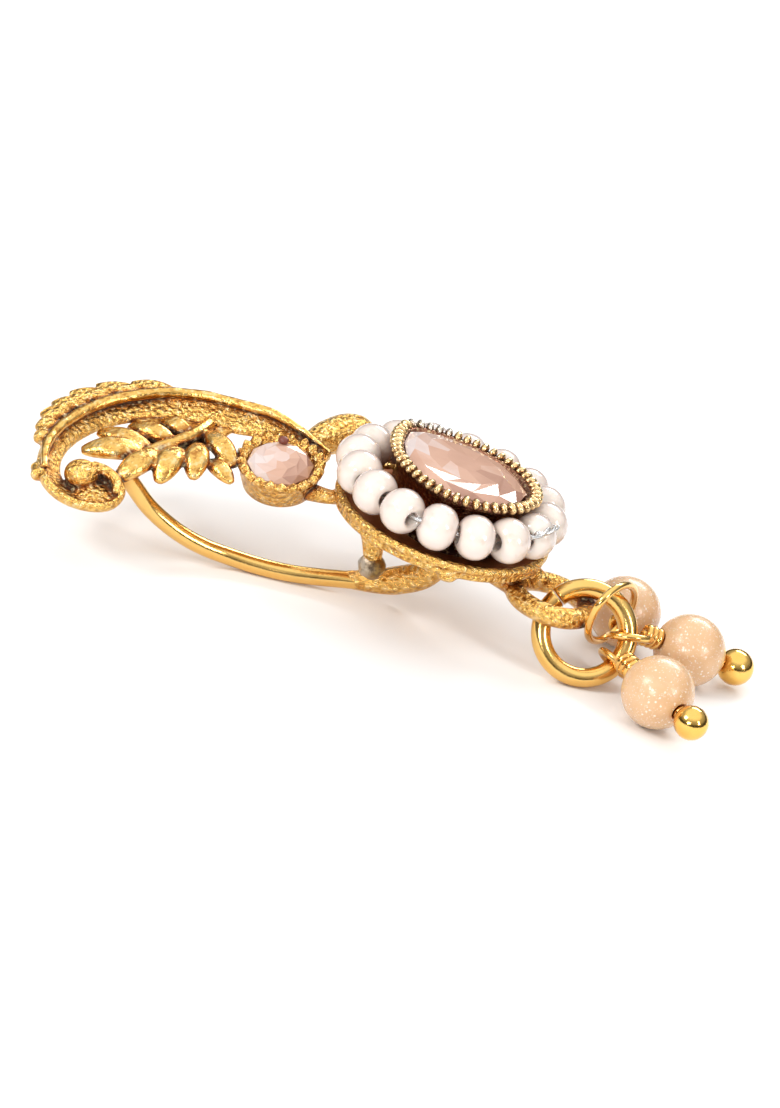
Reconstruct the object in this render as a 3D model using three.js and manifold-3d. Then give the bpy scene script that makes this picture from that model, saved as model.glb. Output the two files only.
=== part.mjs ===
// Nath nose ring, lying on a table with its pearl cup up. Millimetres, +Z up, drops toward +X.
// The hoop that holds the nose has two arms: the cast plume with its curled tip on the far side,
// and a springy round wire on the near side.

import * as THREE from 'three';
import { mergeVertices } from 'three/addons/utils/BufferGeometryUtils.js';
import Module from 'manifold-3d';

const wasm = await Module();
wasm.setup();

// Cup and pearls
const cupRadius = 6.2;
const cupRimHeight = 0.8;
const cupRimWidth = 0.55;
const cupFloor = 0.38;
const cupLipStep = 0.16;
const cupHeightAboveTable = 5.55;
const pearlCount = 16;
const pearlDiameter = 2.64;
const pearlInset = 0.7;
const pearlRingRadius = cupRadius - pearlInset;
const pearlClearance = 0.37;
const pearlStart = 3;
const pearlSpacing = 0.07;
const bezelClearance = 0.12;
const stringWire = 0.3;

// Pear-shaped bezel and its stone
const pearLength = 10.1;
const pearWidth = 8.15;
const pearTurn = 139;
const ropeWire = 0.62;
const ropeAbovePearls = -0.05;
const bezelFootShare = 0.9;
const pearStoneInset = 1.05;
const stoneDrop = 0.3;
const stoneClearance = 0.08;

// Round collet and its stone
const colletDiameter = 4.9;
const colletHeight = 1.8;
const colletFootShare = 0.8;
const colletRim = 0.5;
const colletGap = 0.81;
const smallStoneDiameter = 3.5;
const smallStoneDepth = 0.9;

// Plume, curled tip and leaves
const tailReach = 12.8;
const plumeWall = 0.95;
const plumeTilt = 0.3;
const barbCount = 10;
const barbLength = 1.7;
const knobDiameter = 1.8;
const stemWire = 0.55;
const leafThickness = 0.95;
const webThickness = 0.25;

// Nose wire, arm, post and cast loop
const noseWire = 1.0;
const armDiameter = 1.65;
const postDiameter = 1.7;
const postBall = 1.5;
const loopStock = 1.2;
const loopRadius = 2.1;
const loopReach = 0.97;

// Jump ring and drops
const jumpWire = 1.1;
const jumpRadius = 2.48;
const beadDiameter = 4.1;
const beadHole = 0.85;
const pinWire = 0.45;
const coilTurns = 2.5;
const pinBall = 2.0;

// Attitude on the table, degrees
const cupLean = { x: -1.7, y: 4.1 };
const tailLean = { x: 16.05, y: -3.05 };
const restTurn = { x: 0, y: 0 };

const gold = { color: 0xd9a03a, roughness: 0.32, metalness: 1.0 };
const finish = {
  castGold: new THREE.MeshStandardMaterial(gold),
  wireGold: new THREE.MeshStandardMaterial({ color: 0xe9b64e, roughness: 0.18, metalness: 1.0 }),
  pearl: new THREE.MeshStandardMaterial({ color: 0xf1e7dc, roughness: 0.25, metalness: 0.0 }),
  champagne: new THREE.MeshStandardMaterial({ color: 0xd9a58c, roughness: 0.05, metalness: 0.0 }),
  peachGlass: new THREE.MeshStandardMaterial({ color: 0xeebd92, roughness: 0.3, metalness: 0.0 }),
};

// Solids: a three.js geometry becomes a manifold and comes back after the cuts and joins

function toSolid(geometry, matrix = new THREE.Matrix4()) {
  const plain = geometry.clone();
  plain.deleteAttribute('normal');
  plain.deleteAttribute('uv');
  const merged = mergeVertices(plain, 1e-5);
  merged.applyMatrix4(matrix);
  const vertProperties = new Float32Array(merged.attributes.position.array);
  const triVerts = new Uint32Array(merged.index.array);
  return new wasm.Manifold(new wasm.Mesh({ numProp: 3, vertProperties, triVerts }));
}

function join(solids) {
  return solids.reduce((whole, next) => whole.add(next));
}

function toMesh(name, solid, material) {
  const data = solid.getMesh();
  const geometry = new THREE.BufferGeometry();
  geometry.setAttribute('position', new THREE.BufferAttribute(new Float32Array(data.vertProperties), 3));
  geometry.setIndex(new THREE.BufferAttribute(new Uint32Array(data.triVerts), 1));
  geometry.computeVertexNormals();
  const mesh = new THREE.Mesh(geometry, material);
  mesh.name = name;
  return mesh;
}

// Forms

function vec(x, y, z = 0) {
  return new THREE.Vector3(x, y, z);
}

function ball(diameter, place, sides = 12) {
  const geometry = new THREE.SphereGeometry(diameter / 2, sides, Math.ceil(sides / 2));
  return toSolid(geometry, new THREE.Matrix4().makeTranslation(place.x, place.y, place.z));
}

// A body along a curve: a cylinder whose rings follow the curve, with its own half width,
// half thickness and lean at every station. up is the direction of the thickness.
function sweep(points, section, { up = vec(0, 0, 1), rings = 24, sides = 10, closed = false } = {}) {
  const curve = new THREE.CatmullRomCurve3(points, closed, 'centripetal');
  const plain = new THREE.CylinderGeometry(1, 1, 1, sides, rings);
  plain.deleteAttribute('normal');
  plain.deleteAttribute('uv');
  const geometry = mergeVertices(plain, 1e-5);
  const position = geometry.attributes.position;
  for (let i = 0; i < position.count; i += 1) {
    const along = THREE.MathUtils.clamp(position.getY(i) + 0.5, 0, 1);
    const centre = curve.getPointAt(along);
    const tangent = curve.getTangentAt(along);
    const side = vec(0, 0, 0).crossVectors(tangent, up).normalize();
    const rise = vec(0, 0, 0).crossVectors(side, tangent).normalize();
    const { width, thickness, lean = 0 } = section(along);
    const across = position.getX(i) * width;
    const above = position.getZ(i) * thickness + position.getX(i) * lean;
    centre.addScaledVector(side, across).addScaledVector(rise, above);
    position.setXYZ(i, centre.x, centre.y, centre.z);
  }
  return toSolid(geometry);
}

function rod(points, diameters, options = {}) {
  const radius = (along) => {
    const place = along * (diameters.length - 1);
    const low = Math.min(Math.floor(place), diameters.length - 2);
    return THREE.MathUtils.lerp(diameters[low], diameters[low + 1], place - low) / 2;
  };
  return sweep(points, (along) => ({ width: radius(along), thickness: radius(along) }), options);
}

// A closed ring of round wire around the Z axis, oval when the two radii differ
function wireRing(radiusX, radiusY, wire, steps = 24, sides = 8) {
  const geometry = new THREE.TorusGeometry(1, wire / 2, sides, steps);
  const position = geometry.attributes.position;
  for (let i = 0; i < position.count; i += 1) {
    const angle = Math.atan2(position.getY(i), position.getX(i));
    const out = Math.hypot(position.getX(i), position.getY(i)) - 1;
    const x = Math.cos(angle) * (radiusX + out);
    const y = Math.sin(angle) * (radiusY + out);
    position.setXYZ(i, x, y, position.getZ(i));
  }
  return geometry;
}

function frameAt(origin, xAxis, zAxis) {
  const z = zAxis.clone().normalize();
  const x = xAxis.clone().addScaledVector(z, -xAxis.dot(z)).normalize();
  const y = vec(0, 0, 0).crossVectors(z, x);
  return new THREE.Matrix4().makeBasis(x, y, z).setPosition(origin);
}

function leanedFrame(origin, lean) {
  const turn = new THREE.Euler(THREE.MathUtils.degToRad(lean.x), THREE.MathUtils.degToRad(lean.y), 0);
  return new THREE.Matrix4().makeRotationFromEuler(turn).setPosition(origin);
}

// Cup: a shallow dish with a stepped lip, seen from above as a full circle

const cupFrame = leanedFrame(vec(0, 0, cupHeightAboveTable), cupLean);

function cup() {
  const inner = cupRadius - cupRimWidth;
  const profile = [
    [0, 0],
    [cupRadius - cupLipStep, 0],
    [cupRadius - cupLipStep, cupRimHeight * 0.35],
    [cupRadius, cupRimHeight * 0.5],
    [cupRadius, cupRimHeight * 0.85],
    [cupRadius - cupLipStep, cupRimHeight],
    [inner, cupRimHeight],
    [inner, cupFloor],
    [0, cupFloor],
  ].map(([radius, height]) => new THREE.Vector2(radius, height));
  const geometry = new THREE.LatheGeometry(profile, 40);
  geometry.rotateX(Math.PI / 2);
  return toSolid(geometry, cupFrame);
}

// Pear outline: a circle drawn out to a soft point along +X, as a list of points around it

function pearOutline(length, width, count) {
  const points = [];
  for (let i = 0; i < count; i += 1) {
    const angle = (i / count) * Math.PI * 2;
    const taper = 1 - 0.17 * Math.cos(angle);
    points.push(vec((length / 2) * Math.cos(angle), (width / 2) * Math.sin(angle) * taper));
  }
  return points;
}

// A stack of level outlines, lowest first: a cylinder whose rings take each outline in turn
function stack(levels, count) {
  const geometry = mergeVertices(stripped(new THREE.CylinderGeometry(1, 1, 1, count, levels.length - 1)), 1e-5);
  const position = geometry.attributes.position;
  for (let i = 0; i < position.count; i += 1) {
    const level = levels[Math.round((position.getY(i) + 0.5) * (levels.length - 1))];
    const across = Math.hypot(position.getX(i), position.getZ(i));
    const angle = Math.atan2(position.getX(i), position.getZ(i));
    const place = ((Math.round((angle / (Math.PI * 2)) * count) % count) + count) % count;
    const point = across < 0.5 ? vec(0, 0) : level.outline[place];
    position.setXYZ(i, point.x * level.scale, point.y * level.scale, level.height);
  }
  return geometry;
}

function stripped(geometry) {
  geometry.deleteAttribute('normal');
  geometry.deleteAttribute('uv');
  return geometry;
}

const pearSides = 28;
const pearlPlane = cupRimHeight + pearlClearance + Math.sqrt(
  (pearlDiameter / 2) ** 2 - (cupRadius - cupRimWidth / 2 - pearlRingRadius) ** 2,
);
const ropePlane = pearlPlane + pearlDiameter / 2 + ropeAbovePearls + ropeWire / 2;
const pearMatrix = cupFrame.clone().multiply(
  new THREE.Matrix4().makeRotationZ(THREE.MathUtils.degToRad(pearTurn)),
);
const ropeOutline = pearOutline(pearLength - ropeWire, pearWidth - ropeWire, pearSides);
const stoneOutline = pearOutline(
  pearLength - 2 * (pearStoneInset + stoneClearance),
  pearWidth - 2 * (pearStoneInset + stoneClearance),
  pearSides,
);
const seatOutline = pearOutline(pearLength - 2 * pearStoneInset, pearWidth - 2 * pearStoneInset, pearSides);
const pearlInner = pearlRingRadius - pearlDiameter / 2 - bezelClearance;
const footOutline = ropeOutline.map((point) => {
  const reach = Math.min(point.length() * bezelFootShare, pearlInner);
  return point.clone().setLength(reach);
});
const seatDepth = ropePlane - pearlPlane + 0.2;

function bezel() {
  const waist = pearlPlane + pearlDiameter * 0.3;
  const body = toSolid(stack([
    { outline: footOutline, scale: 1, height: cupFloor / 2 },
    { outline: footOutline, scale: 1, height: waist },
    { outline: ropeOutline, scale: 1, height: ropePlane },
  ], pearSides), pearMatrix);
  const pocket = toSolid(stack([
    { outline: seatOutline, scale: 0.55, height: ropePlane - seatDepth },
    { outline: seatOutline, scale: 1, height: ropePlane - stoneDrop - 0.5 },
    { outline: seatOutline, scale: 1.02, height: ropePlane + ropeWire },
  ], pearSides), pearMatrix);
  const ropeGeometry = wireRing(1, 1, ropeWire, pearSides, 6);
  const ropePosition = ropeGeometry.attributes.position;
  for (let i = 0; i < ropePosition.count; i += 1) {
    const x = ropePosition.getX(i);
    const y = ropePosition.getY(i);
    const angle = Math.atan2(y, x);
    const out = Math.hypot(x, y) - 1;
    const place = ((Math.round((angle / (Math.PI * 2)) * pearSides) % pearSides) + pearSides) % pearSides;
    const point = ropeOutline[place];
    const away = point.clone().normalize();
    ropePosition.setXYZ(i, point.x + away.x * out, point.y + away.y * out, ropePosition.getZ(i) + ropePlane);
  }
  return join([body.subtract(pocket), toSolid(ropeGeometry, pearMatrix)]);
}

function pearStone() {
  return toSolid(stack([
    { outline: stoneOutline, scale: 0.5, height: ropePlane - seatDepth + 0.3 },
    { outline: stoneOutline, scale: 0.97, height: ropePlane - stoneDrop - 0.42 },
    { outline: stoneOutline, scale: 0.96, height: ropePlane - stoneDrop - 0.2 },
    { outline: stoneOutline, scale: 0.62, height: ropePlane - stoneDrop + 0.25 },
  ], pearSides), pearMatrix);
}

// Pearls threaded on their wire

function pearlString() {
  const step = (Math.PI * 2) / pearlCount;
  const length = 2 * pearlRingRadius * Math.sin(step / 2) - pearlSpacing;
  const radius = pearlDiameter / 2;
  const profile = [
    [0, -0.5], [0.6, -0.45], [0.97, -0.17], [0.97, 0.17], [0.6, 0.45], [0, 0.5],
  ].map(([across, along]) => new THREE.Vector2(across * radius, along * length));
  const pearl = new THREE.LatheGeometry(profile, 8);
  const solids = [];
  for (let i = 0; i < pearlCount; i += 1) {
    const place = new THREE.Matrix4().makeRotationZ(i * step + THREE.MathUtils.degToRad(pearlStart));
    place.multiply(new THREE.Matrix4().makeTranslation(pearlRingRadius, 0, pearlPlane));
    solids.push(toSolid(pearl, cupFrame.clone().multiply(place)));
  }
  const wire = wireRing(pearlRingRadius, pearlRingRadius, stringWire, pearlCount, 5);
  const wirePlace = new THREE.Matrix4().makeTranslation(0, 0, pearlPlane);
  solids.push(toSolid(wire, cupFrame.clone().multiply(wirePlace)));
  return join(solids);
}

// Tail frame: origin at the top centre of the round collet, X toward the cup

const colletCentre = vec(-(cupRadius + colletGap + colletDiameter / 2), -0.23, 6.7);
const tailFrame = leanedFrame(colletCentre, tailLean);

function inTail(solid) {
  return solid.transform(tailFrame.toArray());
}

function collet() {
  const radius = colletDiameter / 2;
  const seat = smallStoneDiameter / 2 + stoneClearance;
  const profile = [
    [0, -colletHeight],
    [radius * colletFootShare, -colletHeight],
    [radius * 0.93, -colletHeight * 0.4],
    [radius, -colletRim / 2],
    [radius - colletRim / 4, 0],
    [seat + 0.08, 0],
    [seat, -colletRim * 0.7],
    [seat * 0.6, -smallStoneDepth - colletRim],
    [0, -smallStoneDepth - colletRim],
  ].map(([across, height]) => new THREE.Vector2(across, height));
  const geometry = new THREE.LatheGeometry(profile, 24);
  geometry.rotateX(Math.PI / 2);
  return toSolid(geometry);
}

function smallStone() {
  const radius = smallStoneDiameter / 2;
  const profile = [
    [0, -smallStoneDepth - colletRim * 0.55],
    [radius * 0.45, -smallStoneDepth - colletRim * 0.3],
    [radius * 0.93, -colletRim * 0.72],
    [radius * 0.93, -colletRim * 0.55],
    [radius * 0.6, 0.12],
    [0, 0.12],
  ].map(([across, height]) => new THREE.Vector2(across, height));
  const geometry = new THREE.LatheGeometry(profile, 16);
  geometry.rotateX(Math.PI / 2);
  return inTail(toSolid(geometry));
}

// Plume and curled tip: x, y of the middle line, its half width and height, as shares of tailReach

const plumeRows = [
  { x: 0.17, y: 0.15, half: 0.034, z: -0.05 },
  { x: 0.0, y: 0.218, half: 0.038, z: -0.04 },
  { x: -0.125, y: 0.245, half: 0.048, z: -0.03 },
  { x: -0.25, y: 0.24, half: 0.06, z: -0.03 },
  { x: -0.385, y: 0.235, half: 0.07, z: -0.03 },
  { x: -0.53, y: 0.215, half: 0.075, z: -0.03 },
  { x: -0.665, y: 0.165, half: 0.075, z: -0.03 },
  { x: -0.785, y: 0.07, half: 0.07, z: -0.03 },
  { x: -0.88, y: -0.06, half: 0.06, z: -0.03 },
  { x: -0.94, y: -0.21, half: 0.05, z: -0.03 },
  { x: -0.945, y: -0.34, half: 0.047, z: -0.03 },
  { x: -0.905, y: -0.455, half: 0.05, z: -0.03 },
  { x: -0.82, y: -0.535, half: 0.052, z: -0.035 },
  { x: -0.715, y: -0.56, half: 0.052, z: -0.04 },
  { x: -0.625, y: -0.53, half: 0.045, z: -0.04 },
  { x: -0.6, y: -0.455, half: 0.036, z: -0.03 },
  { x: -0.65, y: -0.395, half: 0.034, z: -0.02 },
  { x: -0.725, y: -0.37, half: 0.036, z: -0.015 },
];

const knobPlace = { x: -0.775, y: -0.43, z: -0.02 };

function alongRows(rows, key, along) {
  const place = along * (rows.length - 1);
  const low = Math.min(Math.floor(place), rows.length - 2);
  return THREE.MathUtils.lerp(rows[low][key], rows[low + 1][key], place - low);
}

function tailPoint(row) {
  return vec(row.x * tailReach, row.y * tailReach, row.z * tailReach);
}

function plume() {
  const section = (along) => ({
    width: alongRows(plumeRows, 'half', along) * tailReach,
    thickness: plumeWall / 2,
    lean: -plumeTilt * (along < 0.6 ? 1 : 0.4),
  });
  const band = sweep(plumeRows.map(tailPoint), section, { rings: 40, sides: 8 });
  const rimPoints = plumeRows.slice(0, 12).map((row, index, rows) => {
    const before = tailPoint(rows[Math.max(index - 1, 0)]);
    const after = tailPoint(rows[Math.min(index + 1, rows.length - 1)]);
    const out = vec(0, 0, 0).crossVectors(after.sub(before).normalize(), vec(0, 0, 1));
    const reach = row.half * tailReach - plumeWall * 0.25;
    return tailPoint(row).addScaledVector(out, reach).add(vec(0, 0, plumeTilt));
  });
  const rim = rod(rimPoints, [0.5, 0.75, 0.8, 0.8, 0.8, 0.75, 0.7, 0.6], { rings: 22, sides: 6 });
  const solids = [band, rim, ball(knobDiameter, tailPoint(knobPlace), 14)];
  const curve = new THREE.CatmullRomCurve3(rimPoints, false, 'centripetal');
  for (let i = 0; i < barbCount; i += 1) {
    const along = 0.36 + (0.56 * i) / (barbCount - 1);
    const root = curve.getPointAt(along);
    const heading = curve.getTangentAt(along);
    const out = vec(0, 0, 0).crossVectors(heading, vec(0, 0, 1));
    const tip = root.clone().addScaledVector(heading, barbLength).addScaledVector(out, barbLength * 0.28);
    tip.z += 0.1;
    root.addScaledVector(out, -0.15);
    solids.push(leaf(root, tip, 0.75, 0.55));
  }
  const sideBall = tailPoint({ x: -0.958, y: -0.47, z: -0.033 });
  solids.push(ball(0.85, sideBall, 8), ball(0.7, sideBall.clone().add(vec(-0.22, 0.4, 0.04)), 8));
  return join(solids);
}

// Leaves: from root to tip, as shares of tailReach, with their widths in millimetres

function leaf(root, tip, width, thickness) {
  const middle = root.clone().lerp(tip, 0.5);
  middle.z += thickness * 0.12;
  const section = (along) => {
    const swell = Math.sin(Math.PI * (0.12 + 0.83 * along)) ** 0.8;
    return { width: (width / 2) * swell, thickness: (thickness / 2) * swell };
  };
  return sweep([root, middle, tip], section, { rings: 4, sides: 6 });
}

const leafRows = [
  { x0: -0.55, y0: -0.2, x1: -0.85, y1: -0.275, width: 1.45 },
  { x0: -0.56, y0: -0.13, x1: -0.8, y1: -0.13, width: 1.2 },
  { x0: -0.47, y0: -0.04, x1: -0.68, y1: -0.04, width: 1.2 },
  { x0: -0.42, y0: 0.03, x1: -0.55, y1: 0.08, width: 1.0 },
  { x0: -0.53, y0: -0.18, x1: -0.65, y1: -0.42, width: 1.25 },
  { x0: -0.5, y0: -0.13, x1: -0.42, y1: -0.34, width: 1.5 },
  { x0: -0.44, y0: -0.05, x1: -0.3, y1: -0.25, width: 1.45 },
  { x0: -0.4, y0: 0.06, x1: -0.15, y1: -0.1, width: 1.3 },
  { x0: -0.36, y0: -0.09, x1: -0.16, y1: -0.2, width: 1.1 },
];
const stemRows = [
  { x: -0.37, y: 0.18, z: -0.035 },
  { x: -0.405, y: 0.07, z: -0.02 },
  { x: -0.45, y: -0.05, z: -0.015 },
  { x: -0.52, y: -0.12, z: -0.015 },
  { x: -0.58, y: -0.19, z: -0.02 },
];

// The thin web behind the upper leaves, as shares of tailReach
const webRows = [
  { x: -0.672, y: 0.125 },
  { x: -0.703, y: 0.023 },
  { x: -0.695, y: -0.094 },
  { x: -0.656, y: -0.172 },
  { x: -0.516, y: -0.148 },
  { x: -0.42, y: -0.1 },
  { x: -0.328, y: -0.023 },
  { x: -0.305, y: 0.1 },
  { x: -0.258, y: 0.188 },
  { x: -0.39, y: 0.185 },
  { x: -0.547, y: 0.165 },
];

function web() {
  const outline = webRows.map((row) => new THREE.Vector2(row.x * tailReach, row.y * tailReach));
  const plate = new THREE.ExtrudeGeometry(new THREE.Shape(outline), { depth: webThickness, bevelEnabled: false });
  return toSolid(plate, new THREE.Matrix4().makeTranslation(0, 0, -plumeWall * 0.95));
}

// The hollow of the curled tip is closed by a small dished floor
const scoopPlace = { x: -0.695, y: -0.48, z: -0.045 };

function scoop() {
  const half = knobDiameter * 0.6;
  const middle = tailPoint(scoopPlace);
  const place = new THREE.Matrix4().makeTranslation(middle.x, middle.y, middle.z);
  place.scale(vec(1, 0.8, 0.32));
  return toSolid(new THREE.SphereGeometry(half, 12, 6), place);
}

function sprig() {
  const solids = [rod(stemRows.map(tailPoint), [stemWire, stemWire], { rings: 10, sides: 8 })];
  solids.push(web(), scoop());
  for (const row of leafRows) {
    const root = tailPoint({ x: row.x0, y: row.y0, z: -0.03 });
    const tip = tailPoint({ x: row.x1, y: row.y1, z: -0.045 });
    solids.push(leaf(root, tip, row.width, leafThickness));
  }
  return join(solids);
}

// Back of the cup: arm with the soldered nose wire, post with its ball, cast loop

const wirePoints = [
  vec(-17.3, -4.5, 5.2),
  vec(-16.6, -4.0, 4.3),
  vec(-15.49, -3.38, 3.0),
  vec(-13.92, -2.8, 1.9),
  vec(-12.44, -2.21, 1.2),
  vec(-10.74, -1.48, 0.72),
  vec(-9.01, -1.12, 0.54),
  vec(-7.31, -0.81, 0.55),
  vec(-5.67, -0.34, 0.66),
  vec(-4.32, -0.03, 0.84),
  vec(-3.0, 0.2, 1.0),
];
const armPoints = [
  vec(-4.2, 0.0, 0.85),
  vec(-2.6, 0.4, 1.12),
  vec(-1.4, 0.8, 1.45),
  vec(-0.3, 0.9, 2.1),
  vec(0.4, 0.8, 3.2),
  vec(0.7, 0.7, 4.6),
  vec(0.8, 0.6, cupHeightAboveTable + cupFloor / 2),
];
const postFoot = vec(-3.6, -1.3, cupHeightAboveTable + cupFloor * 0.7);
const postEnd = vec(-2.95, -1.3, 2.75);
const loopCentre = vec(cupRadius + loopReach, -0.9, 3.9);
const neckPoints = [
  vec(loopCentre.x - 4.57, -1.1, cupHeightAboveTable + cupFloor * 0.4),
  vec(loopCentre.x - 3.47, -1.0, 4.9),
  vec(loopCentre.x - loopRadius, -0.9, 4.05),
];

const shoulderPoints = [
  vec(-1.435 * cupRadius, 0.419 * cupRadius, 6.4),
  vec(-1.258 * cupRadius, 0.694 * cupRadius, 6.9),
  vec(-1.065 * cupRadius, 0.855 * cupRadius, 7.1),
  vec(-0.774 * cupRadius, 0.839 * cupRadius, 6.2),
];

function backParts() {
  const arm = [noseWire * 1.02, 1.3, armDiameter, armDiameter, armDiameter, armDiameter, armDiameter * 1.25];
  const loopFrame = leanedFrame(loopCentre, cupLean);
  const bridge = [
    vec(colletCentre.x + 1.86, -0.6, 5.6),
    vec(-cupRadius - 0.2, -0.7, 5.7),
    vec(-cupRadius + 0.8, -0.6, cupHeightAboveTable + 0.35),
  ];
  return join([
    rod(wirePoints, [noseWire, noseWire], { rings: 24, sides: 8, up: vec(0, 1, 0) }),
    rod(armPoints, arm, { rings: 12, sides: 8, up: vec(0, 1, 0) }),
    rod([postFoot, postEnd], [postDiameter * 1.3, postDiameter * 0.6], { rings: 3, sides: 10, up: vec(0, 1, 0) }),
    ball(postBall, postEnd, 12),
    toSolid(wireRing(loopRadius, loopRadius, loopStock, 18, 8), loopFrame),
    rod(neckPoints, [loopStock * 1.5, loopStock * 1.2, loopStock], { rings: 6, sides: 10, up: vec(0, 1, 0) }),
    rod(bridge, [1.1, 1.0, 1.2], { rings: 4, sides: 8 }),
    rod(shoulderPoints, [1.1, 2.0, 2.4, 1.6], { rings: 8, sides: 10 }),
  ]);
}

// Jump ring: standing on the table, leaning back into the cast loop

const ringCentre = loopCentre.clone().add(vec(2.33, -0.45, -1.12));
const ringNormal = vec(0.258, -0.851, 0.458).normalize();
const ringUp = vec(-0.3, 0.379, 0.875);
const ringFrame = frameAt(ringCentre, ringUp, ringNormal);

function ringPoint(degrees, radius = jumpRadius) {
  const angle = THREE.MathUtils.degToRad(degrees);
  return vec(Math.cos(angle) * radius, Math.sin(angle) * radius).applyMatrix4(ringFrame);
}

function ringTangent(degrees) {
  return ringPoint(degrees + 1).sub(ringPoint(degrees - 1)).normalize();
}

// Drops: where each loop hangs on the ring (degrees around it), where its coil starts (from the
// middle of the ring), which way its pin points (degrees from +X, and down), the half lengths of
// its loop and the length of its coil. The third loop is bent up from its coil: lie is the way
// from its far end to the coil, and face is square to the loop.

const dropRows = [
  { name: 'a', at: -135, x: 2.464, y: -0.855, heading: -40, dip: 4.3, long: 1.15, wide: 1.05, coil: 1.3 },
  { name: 'b', at: -97, x: 2.954, y: 2.069, heading: 26.7, dip: 14, long: 1.235, wide: 1.1, coil: 1.2 },
  {
    name: 'c',
    at: -58,
    x: 1.597,
    y: 2.815,
    heading: 91.9,
    dip: 8.3,
    long: 2.93,
    wide: 1.82,
    coil: 1.0,
    lie: vec(0.172, 0.793, -0.584),
    face: vec(-0.897, 0.372, 0.24),
  },
];

function drop(row) {
  const grip = ringPoint(row.at);
  const tangent = ringTangent(row.at);
  const radius = beadDiameter / 2;
  const turnOut = THREE.MathUtils.degToRad(row.heading);
  const dip = THREE.MathUtils.degToRad(row.dip);
  const axis = vec(Math.cos(dip) * Math.cos(turnOut), Math.cos(dip) * Math.sin(turnOut), -Math.sin(dip));
  const reach = radius * 0.96 + row.coil;
  const restHeight = radius + 0.02 - axis.z * reach;
  const coilStart = vec(ringCentre.x + row.x, ringCentre.y + row.y, restHeight);
  const bead = coilStart.clone().addScaledVector(axis, reach);
  const loopAxis = row.lie ? row.lie.clone().normalize() : coilStart.clone().sub(grip).normalize();
  const loopMiddle = coilStart.clone().addScaledVector(loopAxis, -row.long);
  const face = row.face ? row.face.clone() : tangent.clone();
  const loopFrame = frameAt(loopMiddle, loopAxis, face.addScaledVector(loopAxis, -face.dot(loopAxis)));
  const pinEnd = bead.clone().addScaledVector(axis, radius + 0.35);
  const coilLength = row.coil;
  const coilFrame = frameAt(coilStart, tangent, axis);
  const coilPoints = [];
  const stepsPerTurn = 6;
  const coilSteps = Math.round(coilTurns * stepsPerTurn);
  const coilSpan = Math.min(coilLength - pinWire, coilTurns * pinWire * 1.05);
  for (let i = 0; i <= coilSteps; i += 1) {
    const angle = (i / stepsPerTurn) * Math.PI * 2;
    const height = coilLength - pinWire * 0.5 - coilSpan * (i / coilSteps);
    coilPoints.push(vec(Math.cos(angle) * pinWire, Math.sin(angle) * pinWire, height).applyMatrix4(coilFrame));
  }
  const ballPlace = bead.clone().addScaledVector(axis, radius + pinBall / 2);
  const pinStraight = [coilStart.clone(), pinEnd.clone()];
  const across = Math.abs(axis.z) < 0.9 ? vec(0, 0, 1) : vec(1, 0, 0);
  const pin = join([
    toSolid(wireRing(row.long, row.wide, pinWire, 16, 6), loopFrame),
    rod(pinStraight, [pinWire * 1.05, pinWire * 1.05], { rings: 1, sides: 8, up: across }),
    rod(coilPoints, [pinWire, pinWire], { rings: coilSteps, sides: 5, up: axis }),
    ball(pinBall, ballPlace, 10),
  ]);
  const hole = beadHole / 2;
  const half = radius * 0.94;
  const profile = [[hole, -half]];
  const bands = 7;
  const from = Math.asin((hole + 0.25) / radius);
  for (let i = 0; i <= bands; i += 1) {
    const angle = from + ((Math.PI - 2 * from) * i) / bands;
    profile.push([Math.sin(angle) * radius, -Math.cos(angle) * half]);
  }
  profile.push([hole, half], [hole, -half]);
  const beadGeometry = new THREE.LatheGeometry(profile.map(([x, y]) => new THREE.Vector2(x, y)), 16);
  beadGeometry.rotateX(Math.PI / 2);
  const beadSolid = toSolid(beadGeometry, frameAt(bead, vec(0, 0, 1), axis));
  return { pin, beadSolid };
}

// Assembly

const object = new THREE.Group();
const lying = new THREE.Group();
lying.rotation.set(THREE.MathUtils.degToRad(restTurn.x), THREE.MathUtils.degToRad(restTurn.y), 0);

const castFrame = join([
  cup(),
  bezel(),
  inTail(join([collet(), plume(), sprig()])),
  backParts(),
]);
lying.add(toMesh('cast_frame', castFrame, finish.castGold));
lying.add(toMesh('pear_stone', pearStone(), finish.champagne));
lying.add(toMesh('small_stone', smallStone(), finish.champagne));
lying.add(toMesh('pearl_string', pearlString(), finish.pearl));
const ringGeometry = wireRing(jumpRadius, jumpRadius, jumpWire, 24, 8);
lying.add(toMesh('jump_ring', toSolid(ringGeometry, ringFrame), finish.wireGold));
for (const row of dropRows) {
  const { pin, beadSolid } = drop(row);
  lying.add(toMesh(`headpin_${row.name}`, pin, finish.wireGold));
  lying.add(toMesh(`glass_bead_${row.name}`, beadSolid, finish.peachGlass));
}
object.add(lying);

// The origin is the middle of the underside of the whole
object.updateMatrixWorld(true);
const bounds = new THREE.Box3().setFromObject(object, true);
const middle = bounds.getCenter(vec(0, 0, 0));
lying.position.set(-middle.x, -middle.y, -bounds.min.z);

export default object;
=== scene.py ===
# %% [markdown]
# # A nath nose ring, from the frame to the last glint
#
# A nath is a nose ring. This one is a small gold-plated casting: a cup of pearls round a pear-shaped
# stone, a small round stone beside it, and a feathered plume that curls round a sprig of leaves.
# A springy wire under the plume holds the nostril, and three glass beads hang on a jump ring.
# The solids of the frame are already in place, in metres. This lesson lays finer forms over them
# and gives each one the finish of the real piece.

# %% Load the frame
import bpy
import bmesh
import math
import random
from mathutils import Matrix, Vector, noise
from mathutils.bvhtree import BVHTree


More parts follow.
